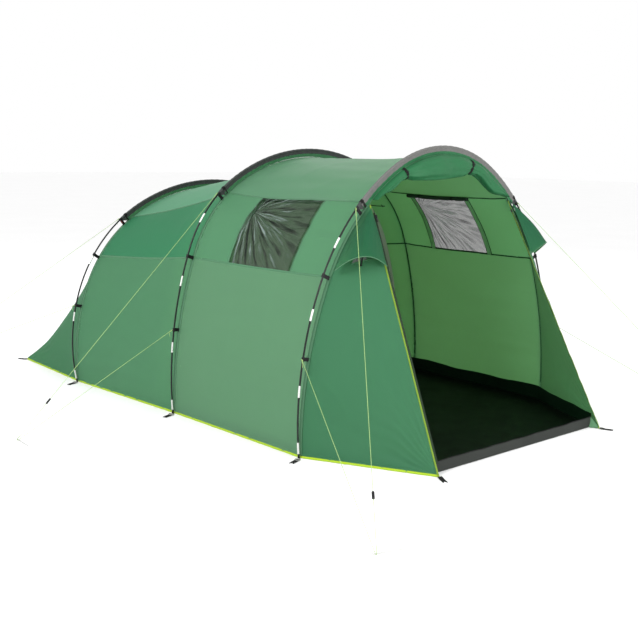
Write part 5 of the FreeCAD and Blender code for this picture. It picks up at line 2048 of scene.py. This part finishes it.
@dataclass
class InnerTent:
    """Bedroom hung inside the rear bay."""

    ground: Ground
    front_y: float = 0.100
    rear_y: float = 1.950
    front_inset: float = 0.034
    gap: float = 0.060
    rear_scale: tuple = (0.9, 0.2)
    door_width: float = 0.900
    door_height: float = 1.250
    door_corner: float = 0.300
    door_low: float = 0.060
    toggle_shares: tuple = (0.3, 0.5, 0.7, 0.9)
    points: int = 160

    def build(self) -> None:
        """Make the walls, the door, the floor and the toggles."""
        self.build_front()
        self.build_door()
        self.build_shell()
        self.build_floor()
        self.build_toggles()
        dress("inner_door_slider", ZIP_METAL.material)

    def arch(self, y: float, inset: float, count: int) -> tuple:
        """Arch of the inner tent at a place along the tunnel, with its normals."""
        share = (y - MIDDLE.y) / (REAR.y - MIDDLE.y)
        rows = [hoop.row(hoop.hem, 2 * hoop.fly.length - hoop.hem, count, inset) for hoop in (MIDDLE, REAR)]
        points = rows[0][0] * (1 - share) + rows[1][0] * share
        return points, unit(rows[0][1] * (1 - share) + rows[1][1] * share)

    def doorway(self, margin: float = 0.0) -> Points:
        """Rounded outline of the inner doorway, from its lower right corner round to the lower left."""
        half, top = self.door_width / 2 - margin, self.door_height - margin
        radius = self.door_corner - margin
        turn = np.linspace(0, math.pi / 2, 24)
        right = np.stack([half - radius + radius * np.cos(turn), top - radius + radius * np.sin(turn)], -1)
        outline = np.concatenate([[(half, self.door_low + margin)], right, right[::-1] * vec(-1, 1),
                                  [(-half, self.door_low + margin)]])
        stops = running(outline)
        even = np.linspace(0, stops[-1], self.points)
        xz = np.stack([np.interp(even, stops, outline[:, k]) for k in range(2)], -1)
        return np.stack([xz[:, 0], np.full(len(xz), self.front_y), xz[:, 1]], -1)

    def ripple(self, points: Points, hold: Points) -> Points:
        """Relief of the hanging cloth, in metres."""
        return hold * (0.008 * SOFT.at(points * 1.2) + 0.004 * CREASE.ridged(points * 1.3))

    def build_front(self) -> None:
        """Front wall round the doorway, and the strip under it."""
        outer, _ = self.arch(self.front_y, self.front_inset, self.points)
        inner = self.doorway()
        t = np.linspace(0, 1, 22)
        wall = Patch.sewn(mix(inner[:, None], outer[:, None], t[None, :, None]), FORWARD, [0, 2])
        wall = wall.moved(-0.5 * np.abs(self.ripple(wall.points, np.sin(math.pi * t))))
        share, rows = np.linspace(0, 1, 40)[:, None, None], np.linspace(0, 1, 4)[None, :, None]
        strip = mix(mix(inner[0], inner[-1], share), mix(outer[0], outer[-1], share), rows)
        cloth = INNER_CLOTH.material
        piece = shells("inner_front_wall", ["inner_tent_front"],
                       [(wall, SHEET, cloth), (Patch.sewn(strip, FORWARD, [0, 2]), SHEET, cloth)])

    def build_door(self) -> None:
        """Zipped door panel with its piped zip round three sides."""
        edge = self.doorway(0.003)
        t = np.linspace(0.02, 1, 24)
        panel = Patch.sewn(mix(vec(0, self.front_y, 0.55), edge[:, None], t[None, :, None]), FORWARD, [0, 2])
        rows = np.linspace(0, 1, 16)[None, :, None]
        low = np.linspace(edge[0], edge[-1], 30)
        high = np.linspace(panel.points[0, 0], panel.points[-1, 0], 30)
        fill = Patch.sewn(mix(low[:, None], high[:, None], rows), FORWARD, [0, 2])
        panel = panel.moved(-0.5 * np.abs(self.ripple(panel.points + BACKWARD * 3, 1 - t ** 4)))
        cloth = INNER_CLOTH.material
        piece = shells("inner_door_panel", ["inner_tent_door"],
                       [(panel, SHEET, cloth), (fill.moved(-0.001), SHEET, cloth)])
        piping("inner_door_zip", [self.doorway(-0.002) + BACKWARD * 0.004], 0.0038,
               ZIP_TAPE.material, 8)

    def build_shell(self) -> None:
        """Walls and roof, sagging between their hanging points, and the low back wall."""
        front, middle = (self.arch(y, self.gap + 0.002, 120) for y in (self.front_y + 0.006, REAR.y))
        wide, high = self.rear_scale
        base = middle[0][0, 2]
        back = middle[0] * vec(wide, 0, high) + vec(0, self.rear_y, base * (1 - high))
        ends = (front, middle, (back, unit(middle[1] + vec(0, 1.1, 0.4))))
        share = np.linspace(0, 1, 44)
        cloth = INNER_CLOTH.material
        layers = []
        for first, second, drift in zip(ends, ends[1:], (0, 5)):
            patch = Fly.between(*first, *second, share)
            hold = np.sin(math.pi * share) * smooth(patch.points[..., 2], 0.01, 0.2)
            drop = -hold * (0.022 + 0.010 * np.abs(SOFT.at(patch.points * 1.3 + drift)))
            layers.append((patch.moved(drop), SHEET, cloth))
        rows = np.linspace(0, 1, 10)[None, :, None]
        end = mix(back[:, None], (back * vec(1, 1, 0) + UP * base)[:, None], rows)
        layers.append((Patch.sewn(end, BACKWARD, [0, 2]), SHEET, cloth))
        piece = shells("inner_walls", ["inner_tent_shell"], layers)

    def build_floor(self) -> None:
        """Bedroom floor."""
        patch = self.ground.floor_patch(self.front_y + 0.008, self.rear_y - 0.01, 0.094, 0.003)
        layers = [(patch, SHEET, FLOOR_SHEET.material)]
        declare(shells("bedroom_floor", ["inner_tent_floor"], layers), [patch])

    def build_toggles(self) -> None:
        """Elastic straps with toggles from the inner tent's front to the middle hoop's seam."""
        bag, bars = Bag(), Bag()
        t = np.linspace(0, 1, 12)[:, None]
        for side in Side:
            for share in self.toggle_shares:
                station = mix(MIDDLE.side, MIDDLE.fly.length, share)
                place, out = (row[0] * side.flip for row in MIDDLE.row(station, station, 1, self.gap))
                end = vec(place[0], self.front_y - 0.006, place[2])
                line = mix(place + BACKWARD * 0.012, end, t) - out * 0.004 * np.sin(math.pi * t)
                across = unit(np.cross(out, BACKWARD))
                bag.sweep(line, across, out, slab(0.0045, 0.0007), BLACK_WEBBING.material)
                bars.bar(line[2] + out * 0.003, np.array([across, BACKWARD, out]), (0.028, 0.007, 0.006),
                         BLACK_PLASTIC.material, 0.35)
        settle(bag.make("inner_toggle_straps"), ["inner_tent_toggles"])
        settle(bars.make("inner_toggle_bars"))


# ---- the whole tent

def main() -> None:
    """Build the tent in order: stage and cords first, then cloth, trims and fittings."""
    logging.basicConfig(level=logging.INFO, format="%(message)s")
    Stage().build()
    for line in GUY_LINES:
        line.build()
        dress(f"{line.hoop.name}_guy_runner_{line.side.word}", BLACK_PLASTIC.material)
    dress("guy_pegs", PEG_METAL.material)
    fly = Fly()
    fly.build()
    Sleeves().build()
    Windows(fly).build()
    Vents().build()
    Doorway().build()
    ground = Ground(fly.hem_path())
    ground.build()
    InnerTent(ground).build()


if __name__ == "__main__":
    main()
